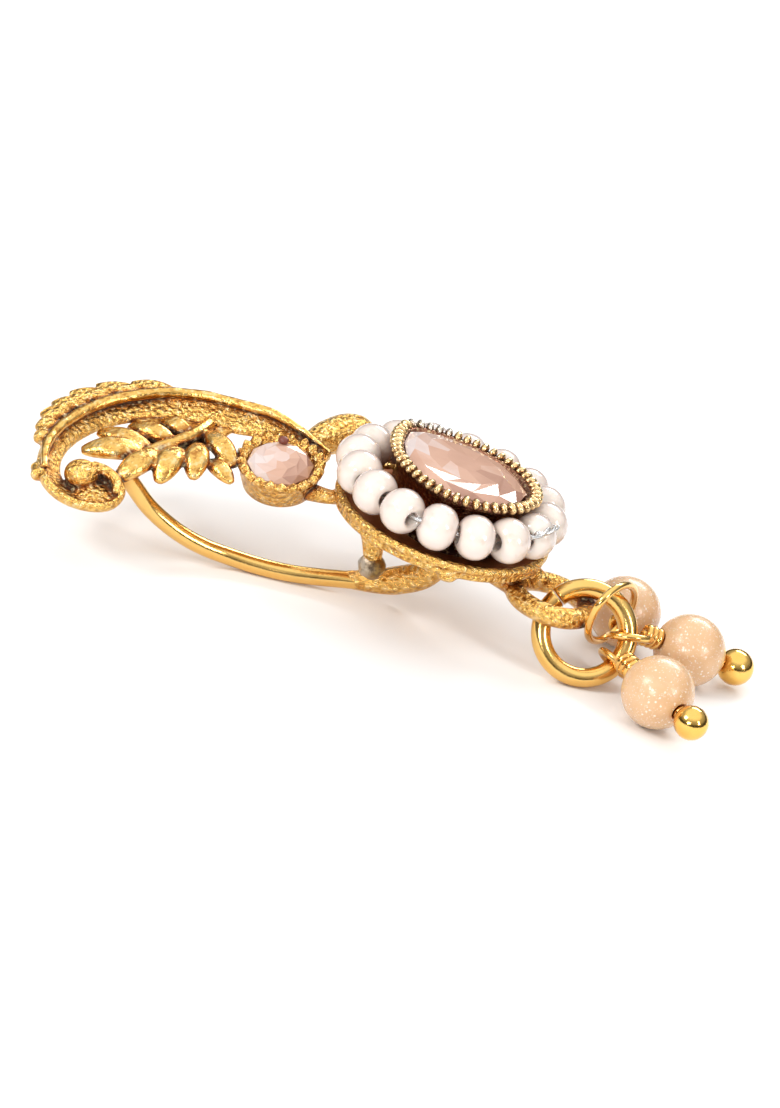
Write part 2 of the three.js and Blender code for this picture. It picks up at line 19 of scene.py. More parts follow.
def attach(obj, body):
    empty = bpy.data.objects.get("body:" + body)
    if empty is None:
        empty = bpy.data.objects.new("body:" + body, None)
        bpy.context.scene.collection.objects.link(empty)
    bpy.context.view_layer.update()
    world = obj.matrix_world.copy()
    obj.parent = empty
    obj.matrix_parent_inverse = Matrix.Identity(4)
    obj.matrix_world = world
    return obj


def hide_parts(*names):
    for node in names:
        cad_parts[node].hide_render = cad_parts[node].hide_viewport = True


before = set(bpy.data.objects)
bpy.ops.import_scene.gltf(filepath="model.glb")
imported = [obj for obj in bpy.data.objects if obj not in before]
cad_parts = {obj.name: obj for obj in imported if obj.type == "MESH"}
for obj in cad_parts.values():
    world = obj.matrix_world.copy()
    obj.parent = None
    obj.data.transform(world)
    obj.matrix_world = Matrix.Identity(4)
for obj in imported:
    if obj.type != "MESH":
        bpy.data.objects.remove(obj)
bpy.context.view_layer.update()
print("nodes in the frame:", sorted(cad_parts))

# %% [markdown]
# ## Two places to work from
#
# The piece is tiny, so its sizes are easier to read in millimetres. Forms are drawn in millimetres
# around the middle of the cup, and one matrix takes them to the table in metres. The cup and the tail
# lean a little differently, because the real piece rests on its wire and its beads. Each gets its
# own leaning frame, so that a ring of pearls can still be drawn as a plain circle. ON_TABLE says how
# far the middle of the cup lies from the middle of the whole piece.

# %% Work frames
MM = 0.001
ON_TABLE = Vector((1.93520, -0.55091, -0.02414))
cup_lean = (-1.7, 4.1)
tail_lean = (16.05, -3.05)


def leaning(origin, lean_x, lean_y):
    turn = Matrix.Rotation(math.radians(lean_x), 4, "X") @ Matrix.Rotation(math.radians(lean_y), 4, "Y")
    return Matrix.Translation(Vector(origin)) @ turn


to_metres = Matrix.Scale(MM, 4) @ Matrix.Translation(ON_TABLE)
flat = Matrix.Identity(4)
cup_place = leaning((0, 0, 5.55), *cup_lean)
tail_place = leaning((-9.46, -0.23, 6.7), *tail_lean)
print("cup leans to", (cup_place.to_3x3() @ Vector((0, 0, 1))).to_tuple(3))

# %% [markdown]
# ## The camera first
#
# The photograph looks down at about 25 degrees, a touch from the left, with the camera rolled by 15
# degrees, so the piece runs downhill in the picture. It was taken from far away with a long lens,
# and a long lens keeps the pearls at the back as large as those in front.

# %% Camera
azimuth, elevation, roll = math.radians(6), math.radians(25), math.radians(15)
lens_distance = 300.0
sensor_width = 36
pixels_per_mm = 18.0
picture_height_px = 1108
aim_shift_px = (50, 31)
toward = Vector((
    math.sin(azimuth) * math.cos(elevation),
    -math.cos(azimuth) * math.cos(elevation),
    math.sin(elevation),
))
level_right = Vector((math.cos(azimuth), math.sin(azimuth), 0))
level_up = toward.cross(level_right)
right = level_right * math.cos(roll) + level_up * math.sin(roll)
up = level_up * math.cos(roll) - level_right * math.sin(roll)
pearl_ring_height = 5.9
aim = Vector((0, 0, pearl_ring_height))
aim -= right * (aim_shift_px[0] / pixels_per_mm) + up * (aim_shift_px[1] / pixels_per_mm)
camera_data = bpy.data.cameras.new("camera")
camera_data.sensor_width = sensor_width
camera_data.lens = sensor_width * lens_distance * pixels_per_mm / picture_height_px
camera_data.clip_start = 0.01
camera_data.clip_end = 10
camera = bpy.data.objects.new("camera", camera_data)
camera_turn = Matrix((right, up, toward)).transposed().to_4x4()
camera.matrix_world = Matrix.Translation((aim + ON_TABLE + toward * lens_distance) * MM) @ camera_turn
bpy.context.scene.collection.objects.link(camera)
bpy.context.scene.camera = camera
print("camera stands", round(lens_distance), "mm away with a", round(camera_data.lens), "mm lens")

# %% [markdown]
# ## Floor and light
#
# A small bright piece of metal shows whatever is around it. In a plain white room gold turns to pale
# yellow paint, so the room here is bright above and dark near the floor, and four soft panels give
# the long glints. The floor is pale and matt, and the piece throws only a soft shadow on it.

# %% Floor
floor_mesh = bpy.data.meshes.new("floor")
floor_half = 3.0
corners = [(x * floor_half, y * floor_half, 0) for x, y in ((-1, -1), (1, -1), (1, 1), (-1, 1))]
floor_mesh.from_pydata(corners, [], [(0, 1, 2, 3)])
floor = bpy.data.objects.new("floor", floor_mesh)
bpy.context.scene.collection.objects.link(floor)
floor_paint = bpy.data.materials.new("pale_floor")
floor_paint.use_nodes = True
floor_shader = floor_paint.node_tree.nodes["Principled BSDF"]
floor_shader.inputs["Base Color"].default_value = (0.93, 0.93, 0.93, 1)
floor_shader.inputs["Roughness"].default_value = 0.9
floor_shader.inputs["Specular IOR Level"].default_value = 0.1
floor_mesh.materials.append(floor_paint)
print("floor:", floor_half * 2, "m wide")

# %% Light
world = bpy.data.worlds.new("soft_room")
world.use_nodes = True
bpy.context.scene.world = world
room = world.node_tree
sky = room.nodes["Background"]
place = room.nodes.new("ShaderNodeTexCoord")
split = room.nodes.new("ShaderNodeSeparateXYZ")
bands = room.nodes.new("ShaderNodeValToRGB")
room.links.new(place.outputs["Generated"], split.inputs[0])
room.links.new(split.outputs["Z"], bands.inputs["Fac"])
room.links.new(bands.outputs["Color"], sky.inputs["Color"])
lowest, highest = bands.color_ramp.elements
lowest.position, lowest.color = 0.0, (0.05, 0.045, 0.04, 1)
highest.position, highest.color = 0.8, (1.0, 1.0, 1.0, 1)
for height, grey in ((0.2, 0.05), (0.42, 0.34), (0.6, 0.42)):
    band = bands.color_ramp.elements.new(height)
    band.color = (grey, grey, grey, 1)
sky.inputs["Strength"].default_value = 1.25
bpy.context.scene.view_settings.view_transform = "Standard"
bpy.context.scene.view_settings.look = "None"


def soft_panel(name, place_mm, size_mm, power):
    data = bpy.data.lights.new(name, "AREA")
    data.shape = "RECTANGLE"
    data.size, data.size_y = size_mm[0] * MM, size_mm[1] * MM
    data.energy = power
    panel = bpy.data.objects.new(name, data)
    panel.location = Vector(place_mm) * MM
    panel.rotation_mode = "QUATERNION"
    panel.rotation_quaternion = (-Vector(place_mm)).to_track_quat("-Z", "Y")
    bpy.context.scene.collection.objects.link(panel)


soft_panel("panel_left", (-160, -120, 170), (80, 60), 0.26)
soft_panel("panel_back", (40, 200, 150), (150, 40), 0.26)
soft_panel("panel_right", (200, -110, 110), (40, 80), 0.16)
soft_panel("panel_front", (-30, -220, 80), (60, 30), 0.14)

# %% [markdown]
# ## Drawing with rings
#
# Nearly everything here is a row of rings joined into a skin: a wire is a row of circles along a
# curve, a pearl is a row of circles up its own axis, a leaf is a row of flattened ones. One loft
# helper makes them all. Curves run smoothly through their chosen points and are cut into even steps.

# %% Curve and loft helpers


def smooth_path(points, steps, span_steps=24):
    """Even steps along a soft curve through the points."""
    knots = [Vector(p) for p in points]
    ends = [knots[0] * 2 - knots[1]] + knots + [knots[-1] * 2 - knots[-2]]
    dense = []
    for i in range(1, len(ends) - 2):
        a, b, c, d = ends[i - 1:i + 3]
        ab, bc, cd = (max((q - p).length ** 0.5, 1e-4) for p, q in ((a, b), (b, c), (c, d)))
        start = (c - b) + bc * ((b - a) / ab - (c - a) / (ab + bc))
        finish = (c - b) + bc * ((d - c) / cd - (d - b) / (bc + cd))
        for k in range(span_steps):
            s = k / span_steps
            cubic = 2 * (b - c) + start + finish
            square = 3 * (c - b) - 2 * start - finish
            dense.append(cubic * s ** 3 + square * s ** 2 + start * s + b)
    dense.append(knots[-1])
    gone = [0.0]
    for p, q in zip(dense, dense[1:]):
        gone.append(gone[-1] + (q - p).length)
    path, k = [], 0
    for i in range(steps + 1):
        want = gone[-1] * i / steps
        while k < len(dense) - 2 and gone[k + 1] < want:
            k += 1
        part = (want - gone[k]) / max(gone[k + 1] - gone[k], 1e-9)
        path.append(dense[k].lerp(dense[k + 1], min(max(part, 0), 1)))
    return path


def loft(bm, rings, wrap=False, caps=True):
    """Skin over rings of points. wrap joins the last ring to the first."""
    rows = [[bm.verts.new(p) for p in ring] for ring in rings]
    pairs = list(zip(rows, rows[1:])) + ([(rows[-1], rows[0])] if wrap else [])
    count = len(rows[0])
    for low, high in pairs:
        for i in range(count):
            j = (i + 1) % count
            bm.faces.new((low[i], low[j], high[j], high[i]))
    if caps and not wrap:
        bm.faces.new(tuple(reversed(rows[0])))
        bm.faces.new(tuple(rows[-1]))


def circle(count):
    return [(math.cos(math.tau * i / count), math.sin(math.tau * i / count)) for i in range(count)]


def sweep(bm, points, outline, steps, up_way=(0, 0, 1), wrap=False):
    """outline(share) gives the ring at that share of the way, as (across, above) pairs."""
    path = points if wrap else smooth_path(points, steps)
    rings = []
    total = len(path)
    for i, centre in enumerate(path):
        before = path[(i - 1) % total] if wrap else path[max(i - 1, 0)]
        after = path[(i + 1) % total] if wrap else path[min(i + 1, total - 1)]
        ahead = (after - before).normalized()
        side = ahead.cross(Vector(up_way)).normalized()
        rise = side.cross(ahead).normalized()
        rings.append([centre + side * x + rise * y for x, y in outline(i / max(total - 1, 1))])
    loft(bm, rings, wrap=wrap)


def between(values, share):
    """The value at that share of the way along a row of values."""
    spot = share * (len(values) - 1)
    low = min(int(spot), len(values) - 2)
    return values[low] + (values[low + 1] - values[low]) * (spot - low)


def wire(bm, points, widths, steps, sides=14, up_way=(0, 0, 1)):
    """A round wire along the points, with its widths spread evenly over the way."""
    def outline(share):
        half = between(widths, share) / 2
        return [(x * half, y * half) for x, y in circle(sides)]
    sweep(bm, points, outline, steps, up_way)


def turned(bm, profile, steps, ripple=None, closed=False, where=None):
    """A turned form around Z. profile is (radius, height) from the bottom up."""
    rings = []
    for radius, height in profile:
        ring = []
        for i in range(steps):
            angle = math.tau * i / steps
            r, h = ripple(radius, height, angle) if ripple else (radius, height)
            point = Vector((math.cos(angle) * r, math.sin(angle) * r, h))
            ring.append(where @ point if where else point)
        rings.append(ring)
    loft(bm, rings, wrap=closed, caps=not closed)


def hoop(bm, centre_frame, radius_x, radius_y, wire_size, steps=96, sides=16, gap=0.0, start=0.0):
    """A ring of round wire around the frame's Z axis, with a gap in degrees where its ends meet."""
    rings = []
    half = wire_size / 2
    for i in range(steps + 1 if gap else steps):
        angle = math.radians(start + gap / 2) + (math.tau - math.radians(gap)) * i / steps
        out = Vector((math.cos(angle), math.sin(angle), 0))
        centre = Vector((out.x * radius_x, out.y * radius_y, 0))
        ring = [centre_frame @ (centre + out * x * half + Vector((0, 0, y * half))) for x, y in circle(sides)]
        rings.append(ring)
    loft(bm, rings, wrap=not gap)


print("helpers ready: smooth_path, loft, sweep, wire, turned, hoop")

# %% [markdown]
# ## Putting a piece down
#
# Each finished form becomes an object that rides on the one body of this part. Gold pieces are also
# kept on a list, because their recesses are measured at the end. Cast metal has no sharp seams
# between its parts: leaves melt into their stem. Remeshing a rough assembly of forms with small
# voxels and relaxing it a little gives just that look.

# %% Piece and melt helpers
gold_pieces = []


def piece(name, bm, material, frame_of=flat, smooth=True):
    bm.transform(to_metres @ frame_of)
    bmesh.ops.recalc_face_normals(bm, faces=bm.faces)
    mesh = bpy.data.meshes.new(name)
    bm.to_mesh(mesh)
    bm.free()
    made = bpy.data.objects.new(name, mesh)
    bpy.context.scene.collection.objects.link(made)
    mesh.materials.append(material)
    for face in mesh.polygons:
        face.use_smooth = smooth
    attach(made, "root")
    print(f"{name}: {len(mesh.polygons)} faces")
    return made


def gold_piece(name, bm, material, frame_of=flat):
    """A piece whose recesses are measured later."""
    made = piece(name, bm, material, frame_of)
    gold_pieces.append(made)
    return made


def melt(made, voxel_mm, relax=4):
    """Fuse the closed forms of one object into one skin, as cast metal is."""
    fuse = made.modifiers.new("fuse", "REMESH")
    fuse.mode = "VOXEL"
    fuse.voxel_size = voxel_mm * MM
    fuse.use_smooth_shade = True
    ease = made.modifiers.new("ease", "SMOOTH")
    ease.factor = 0.5
    ease.iterations = relax
    graph = bpy.context.evaluated_depsgraph_get()
    skin = bpy.data.meshes.new_from_object(made.evaluated_get(graph))
    old = made.data
    made.modifiers.clear()
    made.data = skin
    name = old.name
    bpy.data.meshes.remove(old)
    skin.name = name
    for face in skin.polygons:
        face.use_smooth = True
    print(f"{made.name} melted: {len(skin.polygons)} faces")
    return made


# %% [markdown]
# ## Effects shared by the finishes
#
# An effect that comes back with other values is a node group with named inputs. There are four: the grain of
# a casting with its painted glints and painted pit shade, the dark residue and painted shade in the recesses
# of buffed antique gold, fine glitter, and a mottle. The groups hand out heights, masks and colours. The
# shaders stay in the materials. Feeding a socket means linking it to another one, or giving it a plain value.

# %% Group helpers


def new_group(name, inputs, outputs):
    group = bpy.data.node_groups.new(name, "ShaderNodeTree")
    for label, kind, value in inputs:
        socket = group.interface.new_socket(label, in_out="INPUT", socket_type=kind)
        if value is not None:
            socket.default_value = value
    for label, kind in outputs:
        group.interface.new_socket(label, in_out="OUTPUT", socket_type=kind)
    return group, group.nodes.new("NodeGroupInput"), group.nodes.new("NodeGroupOutput")


FLOAT, COLOUR, VECTOR = "NodeSocketFloat", "NodeSocketColor", "NodeSocketVector"


def feed(tree, socket, value):
    if hasattr(value, "is_linked"):
        tree.links.new(value, socket)
    else:
        socket.default_value = value


def math_node(tree, operation, a, b=None, c=None, clamp=False):
    node = tree.nodes.new("ShaderNodeMath")
    node.operation = operation
    node.use_clamp = clamp
    for i, value in enumerate((a, b, c)):
        if value is not None:
            feed(tree, node.inputs[i], value)
    return node.outputs[0]


def mix_colour(tree, factor, a, b):
    """A blend of two colours. On a Mix node these are its seventh and eighth inputs."""
    node = tree.nodes.new("ShaderNodeMix")
    node.data_type = "RGBA"
    for key, value in (("Factor", factor), (6, a), (7, b)):
        feed(tree, node.inputs[key], value)
    return node.outputs[2]


def noise_node(tree, where, scale, detail=3.0, rough=0.5):
    node = tree.nodes.new("ShaderNodeTexNoise")
    tree.links.new(where, node.inputs["Vector"])
    for label, value in (("Scale", scale), ("Detail", detail), ("Roughness", rough)):
        feed(tree, node.inputs[label], value)
    return node.outputs["Fac"]


def cell_node(tree, where, scale):
    node = tree.nodes.new("ShaderNodeTexVoronoi")
    node.feature = "F1"
    tree.links.new(where, node.inputs["Vector"])
    tree.links.new(scale, node.inputs["Scale"])
    return node


print("node helpers ready: feed, math_node, mix_colour, noise_node, cell_node")

# %% [markdown]
# The grain is the skin of metal that was poured into a rough mould: softly uneven, with small pits.
# A noise texture gives the unevenness and the cells of a Voronoi texture give the pits. Bumps of a tenth of a
# millimetre would take millions of faces, so they are height for a Bump node. The highest and lowest places
# also come out as masks: a painted glint on the high grains and painted shade in the low ones.

# %% Cast grain group
grain, g_in, g_out = new_group(
    "cast_grain",
    [("Position", VECTOR, None), ("Grain Size mm", FLOAT, 0.2), ("Pits", FLOAT, 0.5)],
    [("Height", FLOAT), ("Painted Glint", FLOAT), ("Pit Shade", FLOAT)],
)
grain_scale = math_node(grain, "DIVIDE", 1000.0, g_in.outputs["Grain Size mm"])
rough_field = noise_node(grain, g_in.outputs["Position"], grain_scale, 4.0, 0.62)
cells = cell_node(grain, g_in.outputs["Position"], grain_scale)
pits = math_node(grain, "SUBTRACT", 0.5, cells.outputs["Distance"])
pit_part = math_node(grain, "MULTIPLY", pits, g_in.outputs["Pits"])
surface = math_node(grain, "ADD", rough_field, pit_part)
grain.links.new(surface, g_out.inputs["Height"])
# The high mask carries a painted glint and the low mask painted shade in the pits.
high_from, low_from, mask_edge = 0.52, 0.47, 7.0
above = math_node(grain, "SUBTRACT", rough_field, high_from)
grain.links.new(math_node(grain, "MULTIPLY", above, mask_edge, clamp=True), g_out.inputs["Painted Glint"])
below = math_node(grain, "SUBTRACT", low_from, rough_field)
grain.links.new(math_node(grain, "MULTIPLY", below, mask_edge, clamp=True), g_out.inputs["Pit Shade"])
print("cast_grain has", len(grain.nodes), "nodes")

# %% [markdown]
# Residue is what the buffing wheel leaves behind, and the same hollows lie in shade. Two masks read how deep
# a place lies: the first turns the gold orange, which is painted shade, and the second covers it with a dark
# colour, which is rougher and hardly metallic and is partly real residue and partly painted shade. A patchy
# noise moves both edges, because no real stain stops at a clean line.

# %% Residue and painted shade group
residue_shade_group, r_in, r_out = new_group(
    "residue_and_painted_shade",
    [
        ("Position", VECTOR, None), ("Depth", FLOAT, 0.0), ("Amount", FLOAT, 1.0),
        ("Bare Metal", COLOUR, (0.9, 0.6, 0.2, 1)), ("Warm Shade", COLOUR, (0.45, 0.18, 0.04, 1)),
        ("Residue", COLOUR, (0.05, 0.02, 0.01, 1)),
    ],
    [("Color", COLOUR), ("Roughness", FLOAT), ("Metallic", FLOAT)],
)
patchy = noise_node(residue_shade_group, r_in.outputs["Position"], 2200.0, 3.0, 0.6)
spread = math_node(residue_shade_group, "MULTIPLY_ADD", patchy, 0.55, -0.28)
scaled = math_node(residue_shade_group, "MULTIPLY", r_in.outputs["Depth"], r_in.outputs["Amount"])
depth_and_shade = math_node(residue_shade_group, "ADD", scaled, spread)


def depth_mask(starts, full):
    node = residue_shade_group.nodes.new("ShaderNodeMapRange")
    node.inputs["From Min"].default_value = starts
    node.inputs["From Max"].default_value = full
    residue_shade_group.links.new(depth_and_shade, node.inputs["Value"])
    return node.outputs[0]


# The first mask paints orange shade and the second a dark colour that is partly real residue, partly painted
# shade.
warm_shade_mask, residue_and_shade_mask = depth_mask(0.12, 0.6), depth_mask(0.52, 0.85)
warm_shaded = mix_colour(residue_shade_group, warm_shade_mask, r_in.outputs["Bare Metal"], r_in.outputs["Warm Shade"])
for label, value in (
    ("Color", mix_colour(residue_shade_group, residue_and_shade_mask, warm_shaded, r_in.outputs["Residue"])),
    ("Roughness", math_node(residue_shade_group, "MULTIPLY_ADD", residue_and_shade_mask, 0.4, 0.22)),
    ("Metallic", math_node(residue_shade_group, "MULTIPLY_ADD", residue_and_shade_mask, -0.6, 1.0)),
):
    residue_shade_group.links.new(value, r_out.inputs[label])
print("residue_and_painted_shade has", len(residue_shade_group.nodes), "nodes")

# %% [markdown]
# Glitter is flat flakes in the glass, each of which flashes or doesn't. Every Voronoi cell has a
# random colour, so one channel of it picks the share of cells that flash, and another gives each
# flake a height of its own.

# %% Glitter group
glitter, s_in, s_out = new_group(
    "fine_glitter",
    [("Position", VECTOR, None), ("Flake Size mm", FLOAT, 0.12), ("Share", FLOAT, 0.12)],
    [("Mask", FLOAT), ("Height", FLOAT)],
)
flake_scale = math_node(glitter, "DIVIDE", 1000.0, s_in.outputs["Flake Size mm"])
flakes = cell_node(glitter, s_in.outputs["Position"], flake_scale)
flake_parts = glitter.nodes.new("ShaderNodeSeparateColor")
glitter.links.new(flakes.outputs["Color"], flake_parts.inputs[0])
chosen = math_node(glitter, "LESS_THAN", flake_parts.outputs[0], s_in.outputs["Share"])
flake_reach = 0.38
tight = math_node(glitter, "LESS_THAN", flakes.outputs["Distance"], flake_reach)
glitter.links.new(math_node(glitter, "MULTIPLY", chosen, tight), s_out.inputs["Mask"])
glitter.links.new(flake_parts.outputs[1], s_out.inputs["Height"])
print("fine_glitter has", len(glitter.nodes), "nodes")

# %% [markdown]
# A mottle is one colour that drifts into another, as on tarnished silver, stained lacquer or crumpled
# foil. One noise gives both the mix and a height, so the colour follows the bumps.

# %% Mottle group
mottle, m_in, m_out = new_group(
    "mottle",
    [
        ("Position", VECTOR, None), ("Scale", FLOAT, 1000.0), ("Detail", FLOAT, 3.0),
        ("First", COLOUR, (0.2, 0.2, 0.2, 1)), ("Second", COLOUR, (0.8, 0.8, 0.8, 1)),
    ],
    [("Color", COLOUR), ("Height", FLOAT)],
)
spots = noise_node(mottle, m_in.outputs["Position"], m_in.outputs["Scale"], m_in.outputs["Detail"], 0.6)
drifted = mix_colour(mottle, spots, m_in.outputs["First"], m_in.outputs["Second"])
mottle.links.new(drifted, m_out.inputs["Color"])
mottle.links.new(spots, m_out.inputs["Height"])
print("mottle has", len(mottle.nodes), "nodes")

# %% [markdown]
# ## The finishes
#
# Every finish starts from a Principled BSDF and the object's own coordinates, so the patterns stay on the
# piece when it is moved. How deep a place lies is measured on the mesh later and stored in an attribute
# called recess_and_shade, with a share of painted shade for sides that face down, and the gold finishes read
# it as partly real residue and partly painted shade.

# %% Material helper


def finish_named(name):
    material = bpy.data.materials.new(name)
    material.use_nodes = True
    tree = material.node_tree
    shader = tree.nodes["Principled BSDF"]
    where = tree.nodes.new("ShaderNodeTexCoord").outputs["Object"]
    return material, tree, shader, where


def place_group(tree, group, **values):
    node = tree.nodes.new("ShaderNodeGroup")
    node.node_tree = group
    for label, value in values.items():
        feed(tree, node.inputs[label.replace("_", " ")], value)
    return node


def bump_into(tree, shader, height, distance_mm):
    bump = tree.nodes.new("ShaderNodeBump")
    bump.inputs["Distance"].default_value = distance_mm * MM
    bump.inputs["Strength"].default_value = 1.0
    tree.links.new(height, bump.inputs["Height"])
    tree.links.new(bump.outputs["Normal"], shader.inputs["Normal"])


def recess_and_shade_value(tree):
    node = tree.nodes.new("ShaderNodeAttribute")
    node.attribute_name = "recess_and_shade"
    return node.outputs["Fac"]


print("finish helpers ready: finish_named, place_group, bump_into, recess_and_shade_value")

# %% [markdown]
# Antique gold plate is yellow, with painted glints on the high grains, painted orange shade where it curves
# in and in the grain pits, and nearly black at the bottom of the recesses, which is partly real residue and
# partly painted shade. One function makes five finishes of it: smooth and grainy castings, the fine grains of
# the bezel, those of them that have worn to silver, and the rosy ledge round the stone.

# %% Antique gold


def antique_gold(name, grain_mm, grain_depth, amount, bare, shade, pits=0.5):
    material, tree, shader, where = finish_named(name)
    rough = place_group(tree, grain, Position=where, Grain_Size_mm=grain_mm, Pits=pits)
    # The Residue colour is near black, partly real residue and partly painted shade in the deepest places.
    residue_and_shade = place_group(
        tree, residue_shade_group, Position=where, Depth=recess_and_shade_value(tree), Amount=amount,
        Bare_Metal=bare, Warm_Shade=shade, Residue=(0.045, 0.016, 0.008, 1),
    )
    # Low grain places are mixed toward the warm shade colour, which is painted shade.
    pit_shade_share = math_node(tree, "MULTIPLY", rough.outputs["Pit Shade"], 0.7)
    pit_shaded_colour = mix_colour(tree, pit_shade_share, residue_and_shade.outputs["Color"], shade)
    # High grain places are mixed toward pale yellow, which is a painted glint.
    glint_share = math_node(tree, "MULTIPLY", rough.outputs["Painted Glint"], 0.6)
    glint_and_shade_colour = mix_colour(tree, glint_share, pit_shaded_colour, (1.0, 0.82, 0.46, 1))
    tree.links.new(glint_and_shade_colour, shader.inputs["Base Color"])
    tree.links.new(residue_and_shade.outputs["Roughness"], shader.inputs["Roughness"])
    tree.links.new(residue_and_shade.outputs["Metallic"], shader.inputs["Metallic"])
    bump_into(tree, shader, rough.outputs["Height"], grain_depth)
    return material


bright_gold = (0.84, 0.50, 0.135, 1)
# warm_shade is the orange used for painted shade.
warm_shade = (0.38, 0.115, 0.018, 1)
cast_gold = antique_gold("cast_gold", 0.42, 0.06, 1.15, bright_gold, warm_shade)
grainy_gold = antique_gold("grainy_gold", 0.26, 0.13, 1.05, (0.83, 0.49, 0.13, 1), warm_shade, 0.9)
rope_gold = antique_gold("rope_gold", 0.15, 0.02, 0.85, (0.90, 0.66, 0.33, 1), (0.36, 0.14, 0.045, 1))
worn_silver = antique_gold("worn_silver", 0.15, 0.03, 0.9, (0.72, 0.66, 0.58, 1), (0.30, 0.17, 0.1, 1))
bezel_rose = antique_gold("bezel_rose_gold", 0.2, 0.03, 0.9, (0.34, 0.15, 0.09, 1), (0.14, 0.045, 0.03, 1))
print("antique golds:", [m.name for m in bpy.data.materials if m.name != "pale_floor"])

# %% [markdown]
# Drawn wire and the balls of the pins are the same gold, polished. A die has pulled the wire smooth, so it
# has no grain: only a slow drift in colour and gloss, hair-fine unevenness, and painted shade, a darker
# orange where the gold lies close to other gold or faces down.

# %% Drawn gold


def drawn_gold(name, roughness, bare):
    material, tree, shader, where = finish_named(name)
    soft = noise_node(tree, where, 900.0, 4.0, 0.6)
    fine = noise_node(tree, where, 5200.0, 2.0, 0.5)
    # Where the recess value is high the colour turns darker orange, which is painted shade.
    recess_shade_share = math_node(tree, "MULTIPLY", recess_and_shade_value(tree), 0.85, clamp=True)
    shade = mix_colour(tree, recess_shade_share, bare, (0.5, 0.14, 0.015, 1))
    paler = math_node(tree, "MULTIPLY_ADD", soft, 0.5, -0.1, clamp=True)
    tree.links.new(mix_colour(tree, paler, shade, (1.0, 0.74, 0.32, 1)), shader.inputs["Base Color"])
    tree.links.new(math_node(tree, "MULTIPLY_ADD", soft, 0.2, roughness - 0.1), shader.inputs["Roughness"])
    shader.inputs["Metallic"].default_value = 1.0
    bump_into(tree, shader, fine, 0.006)
    return material


wire_gold = drawn_gold("wire_gold", 0.2, (0.88, 0.54, 0.15, 1))
ball_gold = drawn_gold("ball_gold", 0.14, (0.92, 0.54, 0.11, 1))
print("gold finishes:", [m.name for m in bpy.data.materials if "gold" in m.name])

# %% [markdown]
# Four plain finishes share the mottle: red-brown lacquer on the floor of the cup, a dark red speck,
# tarnished silver wire, and the crumpled foil behind the stones.

# %% Mottled finishes


def mottled(name, scale, detail, first, second, bump_mm):
    material, tree, shader, where = finish_named(name)
    drift = place_group(tree, mottle, Position=where, Scale=scale, Detail=detail, First=first, Second=second)
    tree.links.new(drift.outputs["Color"], shader.inputs["Base Color"])
    bump_into(tree, shader, drift.outputs["Height"], bump_mm)
    return material, tree, shader, drift.outputs["Height"]


cup_inside, tree, shader, stain = mottled(
    "cup_inside", 900.0, 4.0, (0.42, 0.10, 0.035, 1), (0.85, 0.36, 0.12, 1), 0.06)
tree.links.new(math_node(tree, "MULTIPLY_ADD", stain, 0.3, 0.3), shader.inputs["Roughness"])
shader.inputs["Metallic"].default_value = 0.35

dark_red, _, shader, _ = mottled(
    "dark_red", 1600.0, 3.0, (0.10, 0.02, 0.012, 1), (0.30, 0.08, 0.05, 1), 0.03)
shader.inputs["Roughness"].default_value = 0.35

silver_wire, tree, shader, tarnish = mottled(
    "silver_wire", 2600.0, 3.0, (0.82, 0.83, 0.84, 1), (0.42, 0.4, 0.38, 1), 0.01)
tree.links.new(math_node(tree, "MULTIPLY_ADD", tarnish, 0.3, 0.12), shader.inputs["Roughness"])
shader.inputs["Metallic"].default_value = 1.0

foil, _, shader, _ = mottled(
    "rose_foil", 1400.0, 3.0, (0.32, 0.12, 0.07, 1), (0.75, 0.42, 0.3, 1), 0.03)
shader.inputs["Metallic"].default_value = 0.85
shader.inputs["Roughness"].default_value = 0.35
print("mottled finishes:", cup_inside.name, dark_red.name, silver_wire.name, foil.name)

# %% [markdown]
# The pearls are painted glass beads: a milky body, a faint drift from cream to white, a little old dirt, and
# a clear lustre coat. A Layer Weight node paints the base colour pinker and darker toward the edge of each
# bead, which is painted edge shade and sheen.

# %% Pearl
pearl_white, tree, shader, where = finish_named("pearl_lustre")
drift = noise_node(tree, where, 420.0, 2.0, 0.5)
cream = mix_colour(tree, drift, (0.80, 0.66, 0.57, 1), (0.86, 0.81, 0.73, 1))
dirt_field = noise_node(tree, where, 1100.0, 3.0, 0.6)
old_dirt = math_node(tree, "MULTIPLY_ADD", dirt_field, 2.0, -1.15, clamp=True)
stained = mix_colour(tree, old_dirt, cream, (0.58, 0.40, 0.27, 1))
edge_shade_weight = tree.nodes.new("ShaderNodeLayerWeight")
edge_shade_weight.inputs["Blend"].default_value = 0.35
# Toward the edge of each bead the colour turns pinker and darker: painted edge shade and sheen.
edge_shade_share = math_node(tree, "MULTIPLY", edge_shade_weight.outputs["Facing"], 0.75)
tree.links.new(mix_colour(tree, edge_shade_share, stained, (0.52, 0.36, 0.34, 1)), shader.inputs["Base Color"])
shader.inputs["Roughness"].default_value = 0.24
shader.inputs["Subsurface Weight"].default_value = 0.25
shader.inputs["Subsurface Radius"].default_value = (1.0, 0.7, 0.5)
shader.inputs["Subsurface Scale"].default_value = 0.0005
shader.inputs["Coat Weight"].default_value = 1.0
shader.inputs["Coat Roughness"].default_value = 0.03
bump_into(tree, shader, noise_node(tree, where, 1500.0, 2.0, 0.5), 0.008)
print("pearl finish:", pearl_white.name)

# %% [markdown]
# The ball under the cup was soldered on, so it is grey on one side and antique gold on the other, with
# dark cracks between. Its X coordinate sets the change, and a noise breaks up the edge.

